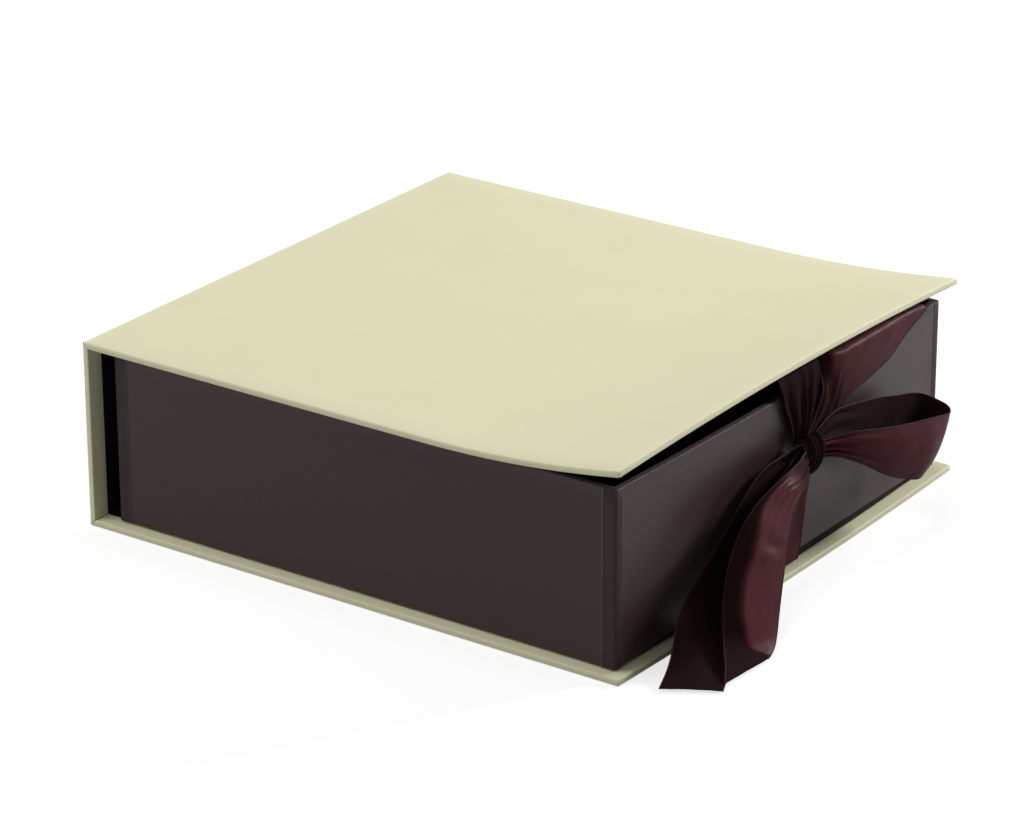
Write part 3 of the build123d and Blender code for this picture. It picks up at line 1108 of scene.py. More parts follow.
    def build_wrap(self) -> None:
        """Sweeps the section round the outline."""
        outline, section = self.outline(), self.profile()
        points = [self.wrap_point(spot, *place) for spot in outline for place in section]
        faces = [(a, d, c, b) for a, b, c, d in grid_faces(len(outline), len(section), ring=True)]
        wrap = new_piece("tray_wrap", points, faces, self.finishes.wrap)
        thicken(wrap, self.sizes.paper, -1.0)
        smooth(wrap, angle_deg=50.0)
        store(wrap, "wear", map(self.rim_wear, places(wrap)))
        store(wrap, "folded", map(self.folded_at, places(wrap)))
        seat(wrap, Body.BASE, Slot.WRAP, "tray_wrap_paper")

    def wrap_point(self, spot: OutlinePoint, inset: float, height: float, shows: float) -> Vector:
        """One point of the wrap.

        Args:
            spot: Its place on the outline.
            inset: How far in from the outline it lies.
            height: Its height where the wrap reaches the foot.
            shows: How much of the flap under it shows.

        Returns:
            The point, with the paper's slight waves.
        """
        sizes = self.sizes
        point = self.clamped(spot.place - spot.outward * inset, inset)
        point = point + spot.outward * (sizes.flap_thick * spot.flap * shows)
        rise = sizes.foot(spot.place.y) * max(spot.outward.x, 0.0) if shows == 1.0 else 0.0
        share = (sizes.high.z - height) / (sizes.high.z - sizes.low.z)
        point = point + Vector((0, 0, height + rise * share))
        wave = noise.noise(point * self.waves_per_metre) * self.waviness * shows
        return point + spot.outward * wave

    def clamped(self, point: Vector, inset: float) -> Vector:
        """Keeps the inner side of a corner from folding over itself.

        Args:
            point: A point of the wrap, seen from above.
            inset: How far in from the outline it lies.

        Returns:
            The point, moved where it would cross the next wall's inner side.
        """
        sizes = self.sizes
        x = max(point.x, sizes.low.x + inset)
        y = min(max(point.y, sizes.low.y + inset), sizes.high.y - inset)
        return Vector((x, y, 0))

    def folded_at(self, place: Vector) -> float:
        """Whether a flap doubles the paper beside a corner.

        Args:
            place: A point of the wrap.

        Returns:
            1 where a flap lies, and 0 elsewhere.
        """
        sizes, near = self.sizes, self.face_depth
        from_x = min(place.x - sizes.low.x, sizes.front(place.y) - place.x)
        from_y = min(place.y - sizes.low.y, sizes.high.y - place.y)
        on_side = from_y < near and from_x < sizes.flap_wide
        on_front = from_x < near and from_y < sizes.flap_front
        return float((on_side or on_front) and place.z < sizes.high.z - sizes.rim_round)

    def rim_wear(self, place: Vector) -> float:
        """Fibres show a little along the rim."""
        return self.rim_wear_share * bell(place.z - self.sizes.high.z, self.rim_wear_width)


@dataclass
class Insert:
    """What the tray holds: the padded sheet and the card divider."""

    finishes: Finishes
    strips_each_way: int = 4
    diamond: float = 9.0 * MM
    emboss: float = 0.55 * MM
    sharpness: float = 0.6
    pad_rounding: float = 0.9 * MM
    pad_cell: float = 1.6 * MM

    def build(self) -> None:
        """Builds the pad and dresses the strips."""
        self.build_pad()
        for number in range(1, self.strips_each_way + 1):
            dress(f"divider_long_{number}", self.finishes.card)
            dress(f"divider_cross_{number}", self.finishes.card)

    def build_pad(self) -> None:
        """Makes the quilted sheet: a rounded slab whose top Geometry Nodes presses into diamonds."""
        low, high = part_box("candy_pad")
        slab = SlabCut(low, high, rounding=self.pad_rounding, step_x=self.pad_cell, step_y=self.pad_cell)
        pad = piece_from(slab.build(), "candy_pad_sheet", self.finishes.pad)
        shaper = Shaper("quilting")
        pitch = shaper.number("Diamond pitch", self.diamond)
        depth = shaper.number("Emboss depth", self.emboss)
        place = shaper.add("GeometryNodeInputPosition").outputs["Position"]
        across, along, up = shaper.add("ShaderNodeSeparateXYZ", {0: place}).outputs
        ridges = [
            self.ridge(shaper, shaper.combined(way, across, along), pitch) for way in ("ADD", "SUBTRACT")
        ]
        quilt = shaper.combined("POWER", shaper.combined("MULTIPLY", *ridges), self.sharpness)
        share = shaper.combined("DIVIDE", shaper.combined("SUBTRACT", up, low.z), high.z - low.z)
        drop = shaper.combined("MULTIPLY", shaper.combined("SUBTRACT", quilt, 1.0), depth)
        shift = shaper.add("ShaderNodeCombineXYZ", {"Z": shaper.combined("MULTIPLY", drop, share)})
        moved = shaper.add("GeometryNodeSetPosition", {"Geometry": shaper.given, "Offset": shift.outputs[0]})
        shaper.finish(moved.outputs["Geometry"], self.finishes.pad)
        shaper.shape(pad, {"Diamond pitch": self.diamond, "Emboss depth": self.emboss})
        pad.data.shade_smooth()
        seat(pad, Body.BASE, Slot.PAD, "candy_pad")

    def ridge(self, shaper: Shaper, place: Socket, pitch: Socket) -> Socket:
        """Evenly spaced ridges: the size of a sine of a place over their pitch."""
        turn = shaper.combined("MULTIPLY", shaper.combined("DIVIDE", place, pitch), math.pi)
        return shaper.combined("ABSOLUTE", shaper.combined("SINE", turn))


# The ribbon


@dataclass(frozen=True)
class Rib:
    """One cross-section of a ribbon, measured from the knot's middle.

    The hollow bows the whole width, the pleats gather it, and the fold is a place on the line that
    folds it lengthwise. The capital names say where each stands in a rib's row of numbers.
    """

    FIRST: ClassVar[slice] = slice(0, 3)
    SECOND: ClassVar[slice] = slice(3, 6)
    FOLD: ClassVar[slice] = slice(6, 9)
    HOLLOW: ClassVar[int] = 9
    PLEAT: ClassVar[int] = 10

    first_mm: Triple
    second_mm: Triple
    hollow_mm: float = 0.0
    pleat_mm: float = 0.0
    fold_mm: Triple | None = None

    def values(self) -> Vector:
        """The rib as one row of numbers.

        Returns:
            Its two edges, its fold, its hollow and its pleats, in metres.
        """
        first, second = Vector(self.first_mm), Vector(self.second_mm)
        fold = Vector(self.fold_mm) if self.fold_mm else (first + second) / 2
        return Vector((*first, *second, *fold, self.hollow_mm, self.pleat_mm)) * MM


@dataclass
class SmoothPath:
    """A smooth curve through rows of numbers, paced by the distance between them."""

    rows: list[Vector]
    stops: list[float]

    def at(self, place: float) -> Vector:
        """The row at a distance along the curve.

        Args:
            place: Distance from the first row.

        Returns:
            The row there.
        """
        last = len(self.rows) - 1
        index = max(i for i in range(last) if i == 0 or self.stops[i] <= place)
        gap = self.stops[index + 1] - self.stops[index]
        part = (place - self.stops[index]) / gap
        start, end = self.rows[index], self.rows[index + 1]
        curve = start * (2 * part**3 - 3 * part**2 + 1) + end * (3 * part**2 - 2 * part**3)
        return (curve + self.slope(index) * gap * (part**3 - 2 * part**2 + part)
                + self.slope(index + 1) * gap * (part**3 - part**2))

    def slope(self, index: int) -> Vector:
        """How fast the rows change at one of them.

        Args:
            index: The row's number.

        Returns:
            The change per metre.
        """
        last = len(self.rows) - 1
        before, after = max(index - 1, 0), min(index + 1, last)
        if index in (0, last):
            return (self.rows[after] - self.rows[before]) / (self.stops[after] - self.stops[before])
        gap_in, gap_out = self.stops[index] - self.stops[before], self.stops[after] - self.stops[index]
        rise_in = (self.rows[index] - self.rows[before]) / gap_in
        rise_out = (self.rows[after] - self.rows[index]) / gap_out
        return (rise_in * gap_out + rise_out * gap_in) / (gap_in + gap_out)


@dataclass(frozen=True)
class Dent:
    """A soft dent in a ribbon, or a rise where its depth is above 0."""

    along: float
    across: float
    reach_along: float
    reach_across: float
    depth: float

    def lift(self, u: float, share: float) -> float:
        """How far the dent moves a place across and along the ribbon."""
        along, across = (share - self.along) / self.reach_along, (u - self.across) / self.reach_across
        return self.depth * math.exp(-along**2 - across**2)


@dataclass(frozen=True)
class PaintedShade:
    """Where a ribbon's face takes the back's dark colour as painted shade: beside its lengthwise fold, and at
    its root.

    The stops are shares of the ribbon's length, and the margins are shares of its width.
    """

    flank: float = 0.0
    root: float = 0.0
    root_reach: float = 0.46
    root_full: float = 0.5
    start: tuple[float, float] = (0.04, 0.11)
    widening: tuple[float, float] = (0.43, 0.49)
    end: tuple[float, float] = (0.49, 0.53)
    margin: tuple[float, float] = (0.08, 0.01)
    widest: float = 1.1

    def at(self, share: float, u: float, crest: float) -> float:
        """How much painted shade the face takes.

        Args:
            share: Place along the ribbon, from 0 to 1.
            u: Place across the ribbon, from 0 to 1.
            crest: Where the fold lies across it.

        Returns:
            The share of the back's dark colour, which paints the shade there.
        """
        along = smooth_step(*self.start, share) * (1 - smooth_step(*self.end, share))
        limit = crest + (self.widest - crest) * smooth_step(*self.widening, share)
        outer, inner = self.margin
        flank = self.flank * along * (1 - smooth_step(limit - outer, limit - inner, u))
        root = self.root * (1 - smooth_step(self.root_full * self.root_reach, self.root_reach, share))
        return max(flank, root)


@dataclass
class Stretch:
    """A stretch of ribbon through its ribs, gathered in pleats where it is tied.

    The pleats are a number across the width, which a phase and a drift along the ribbon shift. They
    are spaced and deepened a little unevenly, and fade out towards the edges.
    """

    name: str
    node: str
    ribs: list[Rib]
    body: Body = Body.BASE
    held: Held = Held.GATHERED
    rests_on: list[str] = field(default_factory=lambda: ["bow_knot_satin"])
    pleats: float = 3.5
    phase: float = 0.0
    drift: float = 1.4
    creased: bool = False
    pleat_shift: float = 0.035
    shift_turns: float = 1.3
    pleat_change: float = 0.22
    change_turns: float = 1.7
    crease_power: float = 0.6
    fading: float = 8.0
    fold_round: float = 0.25
    fold_margin: float = 0.06
    ruffle: float = 0.16 * MM
    seed: int = 5
    ruffles_per_metre: float = 95.0
    crinkles_per_metre: float = 260.0
    crinkle_share: float = 0.4
    calm_edge: float = 5.0
    calm_share: float = 0.4
    noise_start: Triple = (3.7, 1.0, 2.0)
    width: float = 25.0 * MM
    thick: float = 0.22 * MM
    row_pitch: float = 0.9 * MM
    least_rows: int = 8
    across: int = 44
    face_shown: bool = True
    seen_at: float = 0.25
    painted_shade: PaintedShade = PaintedShade()
    dents: tuple[Dent, ...] = ()

    def middle(self) -> Vector:
        """The knot's middle, which the ribs are measured from."""
        low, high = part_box("bow_knot")
        return (low + high) / 2

    def spaced_ribs(self) -> list[Vector]:
        """Ribs read off a smooth path through the stretch's own, one for each row of points.

        Returns:
            The ribs' rows of numbers.
        """
        rows = [rib.values() for rib in self.ribs]
        middles = [(Vector(row[Rib.FIRST]) + Vector(row[Rib.SECOND])) / 2 for row in rows]
        stops = [0.0]
        for before, after in zip(middles, middles[1:]):
            stops.append(stops[-1] + (after - before).length)
        path = SmoothPath(rows, stops)
        count = max(self.least_rows, round(stops[-1] / self.row_pitch))
        return [path.at(stops[-1] * step / count) for step in range(count + 1)]

    def crest_share(self, rib: Vector) -> float:
        """Where the fold lies across a rib.

        Args:
            rib: The rib's row of numbers.

        Returns:
            The place, from 0 at its first edge to 1 at its second.
        """
        first, second, crest = (Vector(rib[part]) for part in (Rib.FIRST, Rib.SECOND, Rib.FOLD))
        before, after = (crest - first).length, (second - crest).length
        return min(max(before / (before + after), self.fold_margin), 1 - self.fold_margin)

    def rows(self) -> list[list[Vector]]:
        """The ribbon's points.

        Returns:
            Rows of points across it, from its root to its end.
        """
        origin, ribs = self.middle(), self.spaced_ribs()
        count = len(ribs) - 1
        firsts = [origin + Vector(rib[Rib.FIRST]) for rib in ribs]
        seconds = [origin + Vector(rib[Rib.SECOND]) for rib in ribs]
        middles = [(first + second) / 2 for first, second in zip(firsts, seconds)]
        rows = []
        for index, rib in enumerate(ribs):
            before, after = middles[max(index - 1, 0)], middles[min(index + 1, count)]
            across = seconds[index] - firsts[index]
            normal = (after - before).cross(across).normalized()
            crest_share = self.crest_share(rib)
            fold = origin + Vector(rib[Rib.FOLD]) - firsts[index] - across * crest_share
            rows.append([
                firsts[index] + across * u + fold * self.tent(u, crest_share)
                + normal * self.lift(u, index / count, rib[Rib.HOLLOW], rib[Rib.PLEAT])
                for u in (step / self.across for step in range(self.across + 1))
            ])
        return self.ruffled(rows)

    def tent(self, u: float, crest_share: float) -> float:
        """A rounded peak, 0 at the ribbon's edges and about 1 on its fold.

        Args:
            u: Place across the ribbon, from 0 to 1.
            crest_share: Where the fold lies.

        Returns:
            The height there.
        """
        rising, falling = u / crest_share, (1 - u) / (1 - crest_share)
        rounded = (rising + falling - math.hypot(rising - falling, self.fold_round)) / 2
        return rounded / (1 - self.fold_round / 2)

    def lift(self, u: float, share: float, hollow: float, pleat: float) -> float:
        """How far a point stands off the straight line between the ribbon's edges.

        Args:
            u: Place across the ribbon, from 0 to 1.
            share: Place along the ribbon, from 0 to 1.
            hollow: How deep the width bows there.
            pleat: How deep the pleats are there.

        Returns:
            The distance along the ribbon's normal.
        """
        full = 2 * math.pi
        uneven = u + self.pleat_shift * math.sin(full * self.shift_turns * u + 2 * self.phase)
        turn = full * self.pleats * uneven + self.phase + self.drift * share
        wave = 2 * abs(math.sin(turn / 2)) ** self.crease_power - 1 if self.creased else math.sin(turn)
        change = math.sin(full * self.change_turns * u + 3 * self.phase)
        wave *= 1 - self.pleat_change + self.pleat_change * change
        ends = min(1.0, self.fading * u, self.fading * (1 - u))
        bowed = 4 * hollow * u * (1 - u) + pleat * wave * ends
        return bowed + sum(dent.lift(u, share) for dent in self.dents)

    def ruffled(self, rows: list[list[Vector]]) -> list[list[Vector]]:
        """Adds the slight unevenness of cloth that was handled, the same in each run.

        Args:
            rows: The ribbon's points.

        Returns:
            The moved points.
        """
        noise.seed_set(self.seed)
        along, across, up = self.noise_start
        start = Vector((self.phase * along, across, up))
        for row in rows:
            for step, point in enumerate(row):
                u = step / self.across
                edge = min(1.0, self.calm_edge * u, self.calm_edge * (1 - u))
                push = noise.noise_vector(point * self.ruffles_per_metre + start)
                push = push + self.crinkle_share * noise.noise_vector(point * self.crinkles_per_metre + start)
                row[step] = point + push * self.ruffle * (self.calm_share + (1 - self.calm_share) * edge)
        return rows

    def build(self, finishes: Finishes) -> None:
        """Args:
            finishes: The box's finishes.
        """
        rows = self.rows()
        points = [point for row in rows for point in row]
        piece = new_piece(self.name, points, grid_faces(len(rows), self.across + 1), finishes.satin)
        self.lay_out(piece, rows)
        thicken(piece, self.thick, 0.0)
        self.mark_back_and_shade(piece, rows)
        smooth(piece, angle_deg=60.0)
        seat(piece, self.body, Slot.SATIN, self.node)
        selvage = self.selvage(rows, finishes.thread)

    def selvage(self, rows: list[list[Vector]], material: Material) -> Piece:
        """Makes the firm woven cords along the ribbon's two edges.

        Args:
            rows: The ribbon's points.
            material: The cords' finish.

        Returns:
            The two cords as one piece.
        """
        count = len(rows)
        points = [row[0] for row in rows] + [row[-1] for row in rows]
        edges = [(index, index + 1) for index in range(2 * count - 1) if index != count - 1]
        mesh = bpy.data.meshes.new(f"{self.name}_selvage")
        mesh.from_pydata([tuple(point) for point in points], edges, [])
        cord = placed(f"{self.name}_selvage", mesh)
        SelvageNodes(material).shape(cord)
        smooth(cord, angle_deg=60.0)
        seat(cord, self.body, Slot.SATIN)
        return cord

    def length(self, rows: list[list[Vector]]) -> float:
        """The ribbon's length along its middle."""
        middle = self.across // 2
        return sum((rows[i + 1][middle] - rows[i][middle]).length for i in range(len(rows) - 1))

    def lay_out(self, piece: Piece, rows: list[list[Vector]]) -> None:
        """Writes the cloth's UV map in metres, and marks its two selvages.

        Args:
            piece: The ribbon before it gets its thickness.
            rows: Its points.
        """
        step, columns = self.length(rows) / (len(rows) - 1), self.across + 1
        layer = piece.data.uv_layers.new(name="cloth")
        for loop in piece.data.loops:
            row, column = divmod(loop.vertex_index, columns)
            layer.data[loop.index].uv = (column / self.across * self.width, row * step)
        marks = (float(index % columns in (0, self.across)) for index in range(len(rows) * columns))
        store(piece, "selvage", marks)

    def mark_back_and_shade(self, piece: Piece, rows: list[list[Vector]]) -> None:
        """Marks which of the ribbon's two layers is the satin's matt back, and where its face takes the
        back's dark colour as painted shade.

        Args:
            piece: The ribbon with its thickness.
            rows: Its points before that.
        """
        points, columns = places(piece), self.across + 1
        half = len(points) // 2
        spot = int(len(rows) * self.seen_at) * columns + self.across // 2
        first_is_out = points[spot].x > points[spot + half].x
        first_is_back = first_is_out != self.face_shown
        crests = [self.crest_share(rib) for rib in self.spaced_ribs()]
        marks = []
        for index in range(len(points)):
            row, column = divmod(index % half, columns)
            # matt is the share of painted shade on the face here, beside the fold and at the root.
            matt = self.painted_shade.at(row / (len(rows) - 1), column / self.across, crests[row])
            marks.append(1.0 if (index < half) == first_is_back else matt)
        store(piece, "back", marks)


class SelvageNodes:
    """Geometry Nodes that sweep a thin cord along each chain of edges."""

    RADIUS: ClassVar[float] = 0.24 * MM
    SIDES: ClassVar[int] = 8

    def __init__(self, material: Material) -> None:
        """Builds the tree.

        Args:
            material: The cord's finish.
        """
        self.shaper = Shaper("selvage")
        radius = self.shaper.number("Cord radius", self.RADIUS)
        chains = self.shaper.add("GeometryNodeMeshToCurve", {"Mesh": self.shaper.given})
        ring = self.shaper.add("GeometryNodeCurvePrimitiveCircle", {
            "Radius": radius, "Resolution": self.SIDES})
        sweep = self.shaper.add("GeometryNodeCurveToMesh", {
            "Curve": chains.outputs["Curve"], "Profile Curve": ring.outputs["Curve"], "Fill Caps": True})
        self.shaper.finish(sweep.outputs["Mesh"], material)

    def shape(self, piece: Piece) -> None:
        """Turns a piece's chains of edges into cords."""
        self.shaper.shape(piece, {"Cord radius": self.RADIUS})


@dataclass
class Bow:
    """The tied bow: two loops, two tails, two straps and the band of the knot that holds them."""

    finishes: Finishes
    band_sweep_deg: float = 262.0
    band_stops: int = 12
    band_out_mm: float = 3.6
    band_up_mm: float = 4.8
    band_lean_mm: float = 2.4
    band_centre_mm: Triple = (-0.2, -3.0, -1.6)
    band_half_mm: float = 5.2
    band_flare_mm: float = 0.8
    band_skew_mm: float = 1.2
    band_hollow_mm: float = 1.0
    band_pleat_mm: float = 1.6

    RIGHT_LOOP: ClassVar[list[Rib]] = [
        Rib((2.0, 0.4, 1.9), (2.0, 0.4, -3.7), 0.2, 1.1),
        Rib((5.0, 8.0, 2.2), (4.6, 9.0, -5.4), -0.5, 0.9),
        Rib((8.5, 14.0, 2.7), (7.7, 18.0, -9.8), -1.3, 0.5),
        Rib((12.7, 27.0, 0.6), (10.9, 33.0, -19.2), -2.1, 0.12),
        Rib((15.4, 44.0, -2.4), (11.9, 47.0, -25.6), -2.6, 0.03),
        Rib((16.4, 59.0, -5.0), (12.4, 54.6, -28.0), -2.4),
        Rib((14.9, 70.5, -7.6), (10.9, 60.4, -27.8), -1.5),
        Rib((9.4, 77.0, -8.1), (6.4, 64.4, -27.0), -0.4),
        Rib((2.9, 74.0, -5.0), (1.4, 61.6, -25.8), 0.3),
        Rib((-0.6, 56.0, -0.2), (-1.1, 53.0, -23.0), 0.8),
        Rib((-1.8, 33.0, 4.6), (-1.8, 33.0, -14.0), 0.8, 0.2),
        Rib((-1.7, 18.0, 6.6), (-1.7, 18.0, -7.6), 0.6, 0.8),
        Rib((-1.0, 1.0, 2.4), (-1.0, 1.0, -3.6), 0.2, 1.1),
    ]
    LEFT_LOOP: ClassVar[list[Rib]] = [
        Rib((1.6, -4.4, 1.6), (1.6, -4.0, -4.6), 0.2, 1.0),
        Rib((4.4, -14.0, 0.8), (5.2, -10.0, -8.4), 0.8, 0.6),
        Rib((5.6, -28.0, -0.8), (7.0, -17.4, -9.8), 0.6, 0.4, (7.4, -28.3, -1.3)),
        Rib((5.6, -43.0, -4.4), (8.6, -24.6, -14.0), 0.3, 0.1, (8.6, -41.4, -4.1)),
        Rib((6.2, -54.5, -10.6), (11.6, -32.4, -20.2), 0.2, 0.05, (11.4, -50.4, -10.0)),
        Rib((7.2, -62.0, -18.0), (14.6, -39.0, -27.0), 0.2, 0.0, (13.2, -57.2, -18.0)),
        Rib((9.4, -68.5, -25.6), (17.4, -45.4, -33.8), 0.2, 0.0, (15.4, -65.4, -24.6)),
        Rib((12.8, -74.0, -32.4), (19.8, -50.6, -39.6), 0.2, 0.0, (18.4, -70.6, -32.0)),
        Rib((16.8, -80.0, -38.6), (22.8, -56.6, -43.4), 0.2, 0.0, (21.4, -71.7, -39.2)),
        Rib((21.6, -86.4, -43.0), (25.2, -62.2, -45.4), 0.1, 0.0, (24.6, -73.0, -43.8)),
        Rib((25.2, -92.0, -45.8), (26.4, -68.0, -46.2), 0.1),
        Rib((22.6, -84.6, -46.0), (22.0, -65.4, -46.2), -0.1),
        Rib((13.0, -74.0, -42.2), (13.4, -54.6, -45.6), -0.5),
        Rib((7.2, -66.4, -34.6), (9.8, -47.4, -40.6), -0.7),
        Rib((3.6, -54.6, -23.0), (6.6, -37.4, -31.6), -0.8),
        Rib((2.0, -37.0, -10.2), (4.0, -23.0, -19.4), -0.6, 0.3),
        Rib((0.8, -17.0, -2.4), (1.8, -12.4, -9.2), -0.3, 0.8),
        Rib((-0.8, -3.0, 2.4), (-0.8, -3.0, -4.2), 0.0, 1.3),
    ]
    LOWER_TAIL: ClassVar[list[Rib]] = [
        Rib((-1.6, -3.0, 1.0), (-1.6, -3.0, -4.6), 0.2, 1.1),
        Rib((-2.2, -14.0, 1.2), (-2.0, -10.6, -9.4), 0.4, 1.0),
        Rib((-2.6, -25.0, 0.2), (-2.2, -17.0, -16.6), 0.6, 0.6),
        Rib((-2.6, -36.0, -4.6), (-1.8, -25.0, -24.6), 0.8, 0.25),
        Rib((-2.4, -46.4, -11.8), (-0.8, -32.6, -31.6), 1.0, 0.1),
        Rib((-2.0, -56.4, -18.4), (0.8, -40.2, -37.4), 1.2),
        Rib((-1.2, -67.0, -23.6), (3.0, -49.4, -41.8), 1.4),
        Rib((0.0, -77.2, -27.4), (5.6, -58.4, -44.4), 1.8),
        Rib((2.0, -86.0, -31.4), (9.6, -66.6, -45.9), 2.2),
        Rib((4.2, -91.0, -37.4), (14.8, -74.0, -46.2), 2.4),
        Rib((6.2, -96.8, -42.4), (20.6, -82.8, -46.3), 1.8),
        Rib((9.4, -107.4, -46.1), (27.2, -96.6, -46.4), 0.3),
    ]
    UPPER_TAIL: ClassVar[list[Rib]] = [
        Rib((-2.0, 1.0, 3.6), (-2.0, 1.6, -2.4), -0.2, 1.1),
        Rib((-3.0, 7.8, 8.4), (-2.8, 14.2, -3.4), -0.4, 0.9),
        Rib((-3.8, 13.6, 16.6), (-3.2, 23.4, 1.0), -0.6, 0.6),
        Rib((-8.6, 17.0, 25.5), (-3.7, 30.4, 6.8), -0.4, 0.2, (-4.3, 19.0, 25.2)),
        Rib((-12.6, 27.0, 25.6), (-4.0, 39.8, 8.8), -0.3, 0.0, (-4.3, 30.0, 25.8)),
        Rib((-16.0, 39.5, 25.2), (-4.1, 50.4, 10.4), -0.3, 0.0, (-4.4, 43.6, 25.5)),
        Rib((-18.5, 50.0, 24.6), (-4.1, 60.4, 12.8), -0.2, 0.0, (-4.6, 55.6, 25.2)),
        Rib((-22.5, 61.0, 23.8), (-4.2, 69.8, 17.2), -0.1, 0.0, (-5.0, 67.4, 24.8)),
        Rib((-25.5, 70.0, 23.3), (-4.5, 78.4, 20.2), 0.0, 0.0, (-5.4, 77.2, 24.3)),
        Rib((-27.5, 78.0, 22.9), (-5.0, 86.2, 22.4), 0.0, 0.0, (-6.2, 85.6, 23.7)),
    ]
    UPPER_STRAP: ClassVar[list[Rib]] = [
        Rib((-25.5, -12.5, 24.85), (-25.5, 12.5, 24.85)),
        Rib((-16.5, -12.5, 26.45), (-16.5, 12.5, 26.4)),
        Rib((-9.4, -12.5, 27.75), (-9.4, 12.5, 27.7)),
        Rib((-6.0, -12.5, 27.3), (-6.0, 12.3, 27.2), 0.1, 0.1),
        Rib((-4.3, -12.3, 24.2), (-4.3, 11.4, 24.0), 0.2, 0.35),
        Rib((-3.5, -10.6, 17.0), (-3.5, 8.6, 17.0), 0.5, 0.8),
        Rib((-3.2, -8.0, 11.3), (-3.2, 6.4, 11.3), 0.5, 1.0),
        Rib((-3.3, -6.2, 6.2), (-3.3, 4.4, 6.2), 0.3, 1.0),
        Rib((-3.5, -5.6, 2.4), (-3.5, 3.0, 2.4), 0.2, 1.0),
    ]
    LOWER_STRAP: ClassVar[list[Rib]] = [
        Rib((-25.5, -24.5, -44.35), (-25.5, 0.5, -44.35)),
        Rib((-12.0, -24.5, -44.35), (-12.0, 0.5, -44.35)),
        Rib((-5.9, -24.5, -44.35), (-5.9, 0.5, -44.35)),
        Rib((-4.9, -24.3, -43.7), (-4.9, 0.8, -43.7)),
        Rib((-4.7, -23.3, -40.5), (-4.7, 2.0, -40.5)),
        Rib((-4.5, -20.9, -32.4), (-4.5, 3.4, -32.4), 0.1, 0.1),
        Rib((-4.3, -16.6, -22.4), (-4.3, 4.8, -22.4), 0.3, 0.3),
        Rib((-3.9, -11.2, -13.6), (-3.9, 6.2, -13.6), 0.4, 0.7),
        Rib((-3.4, -5.4, -6.4), (-3.4, 5.2, -6.4), 0.3, 1.0),
        Rib((-3.4, -4.4, -3.6), (-3.4, 4.4, -3.6), 0.2, 1.0),
    ]

    def knot_ribs(self) -> list[Rib]:
        """The band of the knot: once round the gathers, from behind their top to behind their foot.

        Returns:
            The band's ribs.
        """
        centre_out, centre_lean, centre_up = self.band_centre_mm
        ribs = []
        for stop in range(self.band_stops + 1):
            turn = math.radians(self.band_sweep_deg * (0.5 - stop / self.band_stops))
            out = self.band_out_mm * math.cos(turn) + centre_out
            up = self.band_up_mm * math.sin(turn) + centre_up
            lean = self.band_lean_mm * math.sin(turn) + centre_lean
            half = self.band_half_mm + self.band_flare_mm * abs(math.sin(turn))
            ribs.append(Rib((out, lean - half, up), (out, lean + half, up - self.band_skew_mm),
                            self.band_hollow_mm, self.band_pleat_mm))
        return ribs

    def stretches(self) -> list[Stretch]:
        """Every stretch of ribbon.

        Returns:
            The stretches, in the order that they are built.
        """
        left_dents = (
            Dent(along=0.24, across=0.62, reach_along=0.012, reach_across=0.24, depth=-0.9 * MM),
            Dent(along=0.263, across=0.6, reach_along=0.012, reach_across=0.26, depth=0.5 * MM),
        )
        # The back's dark colour, shown on the lower tail, the upper strap and the knot, is partly painted
        # shade, and the flank and root settings paint shade on the face of the left loop and the upper tail.
        return [
            Stretch("right_loop_satin", "right_loop", self.RIGHT_LOOP),
            Stretch("left_loop_satin", "left_loop", self.LEFT_LOOP, phase=1.0, fold_round=0.12,
                    painted_shade=PaintedShade(flank=0.95, root=0.8, root_reach=0.1), dents=left_dents),
            Stretch("lower_tail_satin", "lower_tail", self.LOWER_TAIL, phase=2.0, face_shown=False),
            Stretch("upper_tail_satin", "upper_tail", self.UPPER_TAIL, phase=0.5, fold_round=0.6,
                    painted_shade=PaintedShade(root=0.85)),
            Stretch("upper_strap_satin", "upper_ribbon", self.UPPER_STRAP, Body.LID, Held.STRETCHED,
                    ["lid_lining_paper"], phase=0.3, face_shown=False, seen_at=0.8),
            Stretch("lower_strap_satin", "lower_ribbon", self.LOWER_STRAP, Body.BASE, Held.STRETCHED,
                    ["base_cover"], phase=0.8, seen_at=0.8),
            Stretch("bow_knot_satin", "bow_knot", self.knot_ribs(), Body.BASE, Held.GATHERED,
                    ["left_loop_satin", "right_loop_satin"], pleats=3.6, phase=1.6, drift=7.0, creased=True,
                    row_pitch=0.5 * MM, ruffle=0.3 * MM, face_shown=False),
        ]

    def build(self) -> None:
        """Builds the ribbon and the knot."""
        for stretch in self.stretches():
            stretch.build(self.finishes)


# The studio


@dataclass(frozen=True)
class Lamp:
    """A square soft lamp aimed at the box."""

    name: str
    place: Triple
    size: float
    watts: float

    def build(self) -> None:
        """Makes the lamp."""
        data = bpy.data.lights.new(self.name, "AREA")
        data.size, data.energy = self.size, self.watts
        lamp = bpy.data.objects.new(self.name, data)
        lamp.location = self.place
        lamp.rotation_euler = (-Vector(self.place)).to_track_quat("-Z", "Y").to_euler()
        bpy.context.scene.collection.objects.link(lamp)


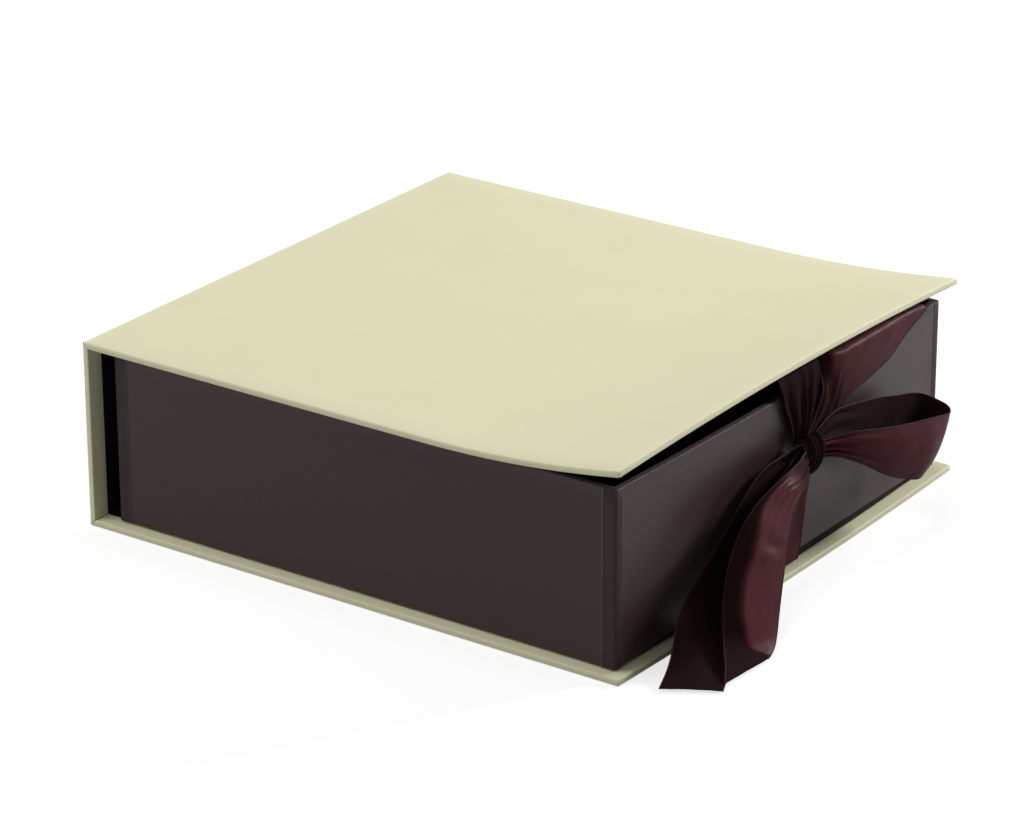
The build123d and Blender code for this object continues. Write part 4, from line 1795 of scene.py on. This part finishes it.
@dataclass
class Studio:
    """Floor, backdrop, lamps and the camera at the photograph's place."""

    camera_place: Triple = (0.8150, -1.1579, 0.6255)
    azimuth_deg: float = 35.33
    elevation_deg: float = 22.792
    roll_deg: float = -0.165
    focal_px: float = 4282.2
    picture_width_px: float = 1026.0
    sensor_mm: float = 36.0
    seen_from: float = 0.05
    seen_to: float = 50.0
    floor_half: float = 6.0
    floor_height: float = -0.0002
    floor_glow: float = 0.72
    floor_grey: float = 0.42
    floor_mirrored: float = 0.8
    floor_roughness: float = 0.9
    floor_gloss: float = 0.1
    sky_seen: float = 1.0
    sky_mirrored: float = 0.3
    sky_light: float = 0.15
    lamps: tuple[Lamp, ...] = (
        Lamp("top_lamp", (-0.4, -0.3, 1.8), 1.2, 16.0),
        Lamp("key_lamp", (0.9, 1.7, 0.85), 0.5, 40.0),
        Lamp("left_lamp", (-1.2, -1.4, 0.5), 0.8, 10.0),
    )

    def build(self) -> None:
        """Builds everything that isn't the object."""
        self.make_camera()
        self.make_floor()
        for lamp in self.lamps:
            lamp.build()
        self.make_world()
        bpy.context.scene.view_settings.view_transform = "Standard"

    def make_camera(self) -> None:
        """Places the camera and aims it along its azimuth and elevation."""
        data = bpy.data.cameras.new("camera")
        data.sensor_width = self.sensor_mm
        data.lens = self.focal_px * self.sensor_mm / self.picture_width_px
        data.clip_start, data.clip_end = self.seen_from, self.seen_to
        camera = bpy.data.objects.new("camera", data)
        azimuth, elevation = math.radians(self.azimuth_deg), math.radians(self.elevation_deg)
        tilt = Matrix.Rotation(math.pi / 2 - elevation, 4, "X")
        roll = Matrix.Rotation(math.radians(self.roll_deg), 4, "Z")
        turn = Matrix.Rotation(azimuth, 4, "Z")
        camera.matrix_world = Matrix.Translation(self.camera_place) @ turn @ tilt @ roll
        bpy.context.scene.collection.objects.link(camera)
        bpy.context.scene.camera = camera

    def make_floor(self) -> None:
        """A pale floor that shows nearly white to the camera and keeps the object's shadow."""
        half, height = self.floor_half, self.floor_height
        around = ((-half, -half), (half, -half), (half, half), (-half, half))
        corners = [Vector((x, y, height)) for x, y in around]
        shader = Shader("floor")
        path = shader.add("ShaderNodeLightPath")
        greys = [(grey, grey, grey) for grey in (self.floor_grey, self.floor_mirrored)]
        shader.surface_takes(base_color=shader.mixed(path.outputs["Is Glossy Ray"], *greys),
                             roughness=self.floor_roughness, specular_ior_level=self.floor_gloss)
        plain = shader.surface.outputs["BSDF"]
        glow = shader.add("ShaderNodeEmission", {"Strength": self.floor_glow})
        both = shader.add("ShaderNodeAddShader", {0: plain, 1: glow.outputs["Emission"]})
        pick = shader.add("ShaderNodeMixShader", {
            "Fac": path.outputs["Is Camera Ray"], 1: plain, 2: both.outputs["Shader"]})
        shader.fill(shader.output.inputs["Surface"], pick.outputs["Shader"])
        floor = new_piece("floor", corners, [(0, 1, 2, 3)], shader.material)

    def make_world(self) -> None:
        """White to the camera, grey to reflections, and a weaker grey light otherwise."""
        world = bpy.data.worlds.new("studio")
        bpy.context.scene.world = world
        world.use_nodes = True
        graph = Graph(world.node_tree)
        graph.tree.nodes.clear()
        path = graph.add("ShaderNodeLightPath")
        shown = self.sky(graph, self.sky_light)
        for ray, strength in (("Is Glossy Ray", self.sky_mirrored), ("Is Camera Ray", self.sky_seen)):
            pick = graph.add("ShaderNodeMixShader", {
                "Fac": path.outputs[ray], 1: shown, 2: self.sky(graph, strength)})
            shown = pick.outputs["Shader"]
        graph.add("ShaderNodeOutputWorld", {"Surface": shown})

    def sky(self, graph: Graph, strength: float) -> Socket:
        """A white background of a strength."""
        inputs = {"Color": (1, 1, 1, 1), "Strength": strength}
        return graph.add("ShaderNodeBackground", inputs).outputs["Background"]


def main() -> None:
    """Builds the studio, then the case, the tray, its insert and the bow."""
    Studio().build()
    finishes = Finishes()
    Case(finishes).build()
    Tray(finishes).build()
    Insert(finishes).build()
    Bow(finishes).build()


if __name__ == "__main__":
    main()
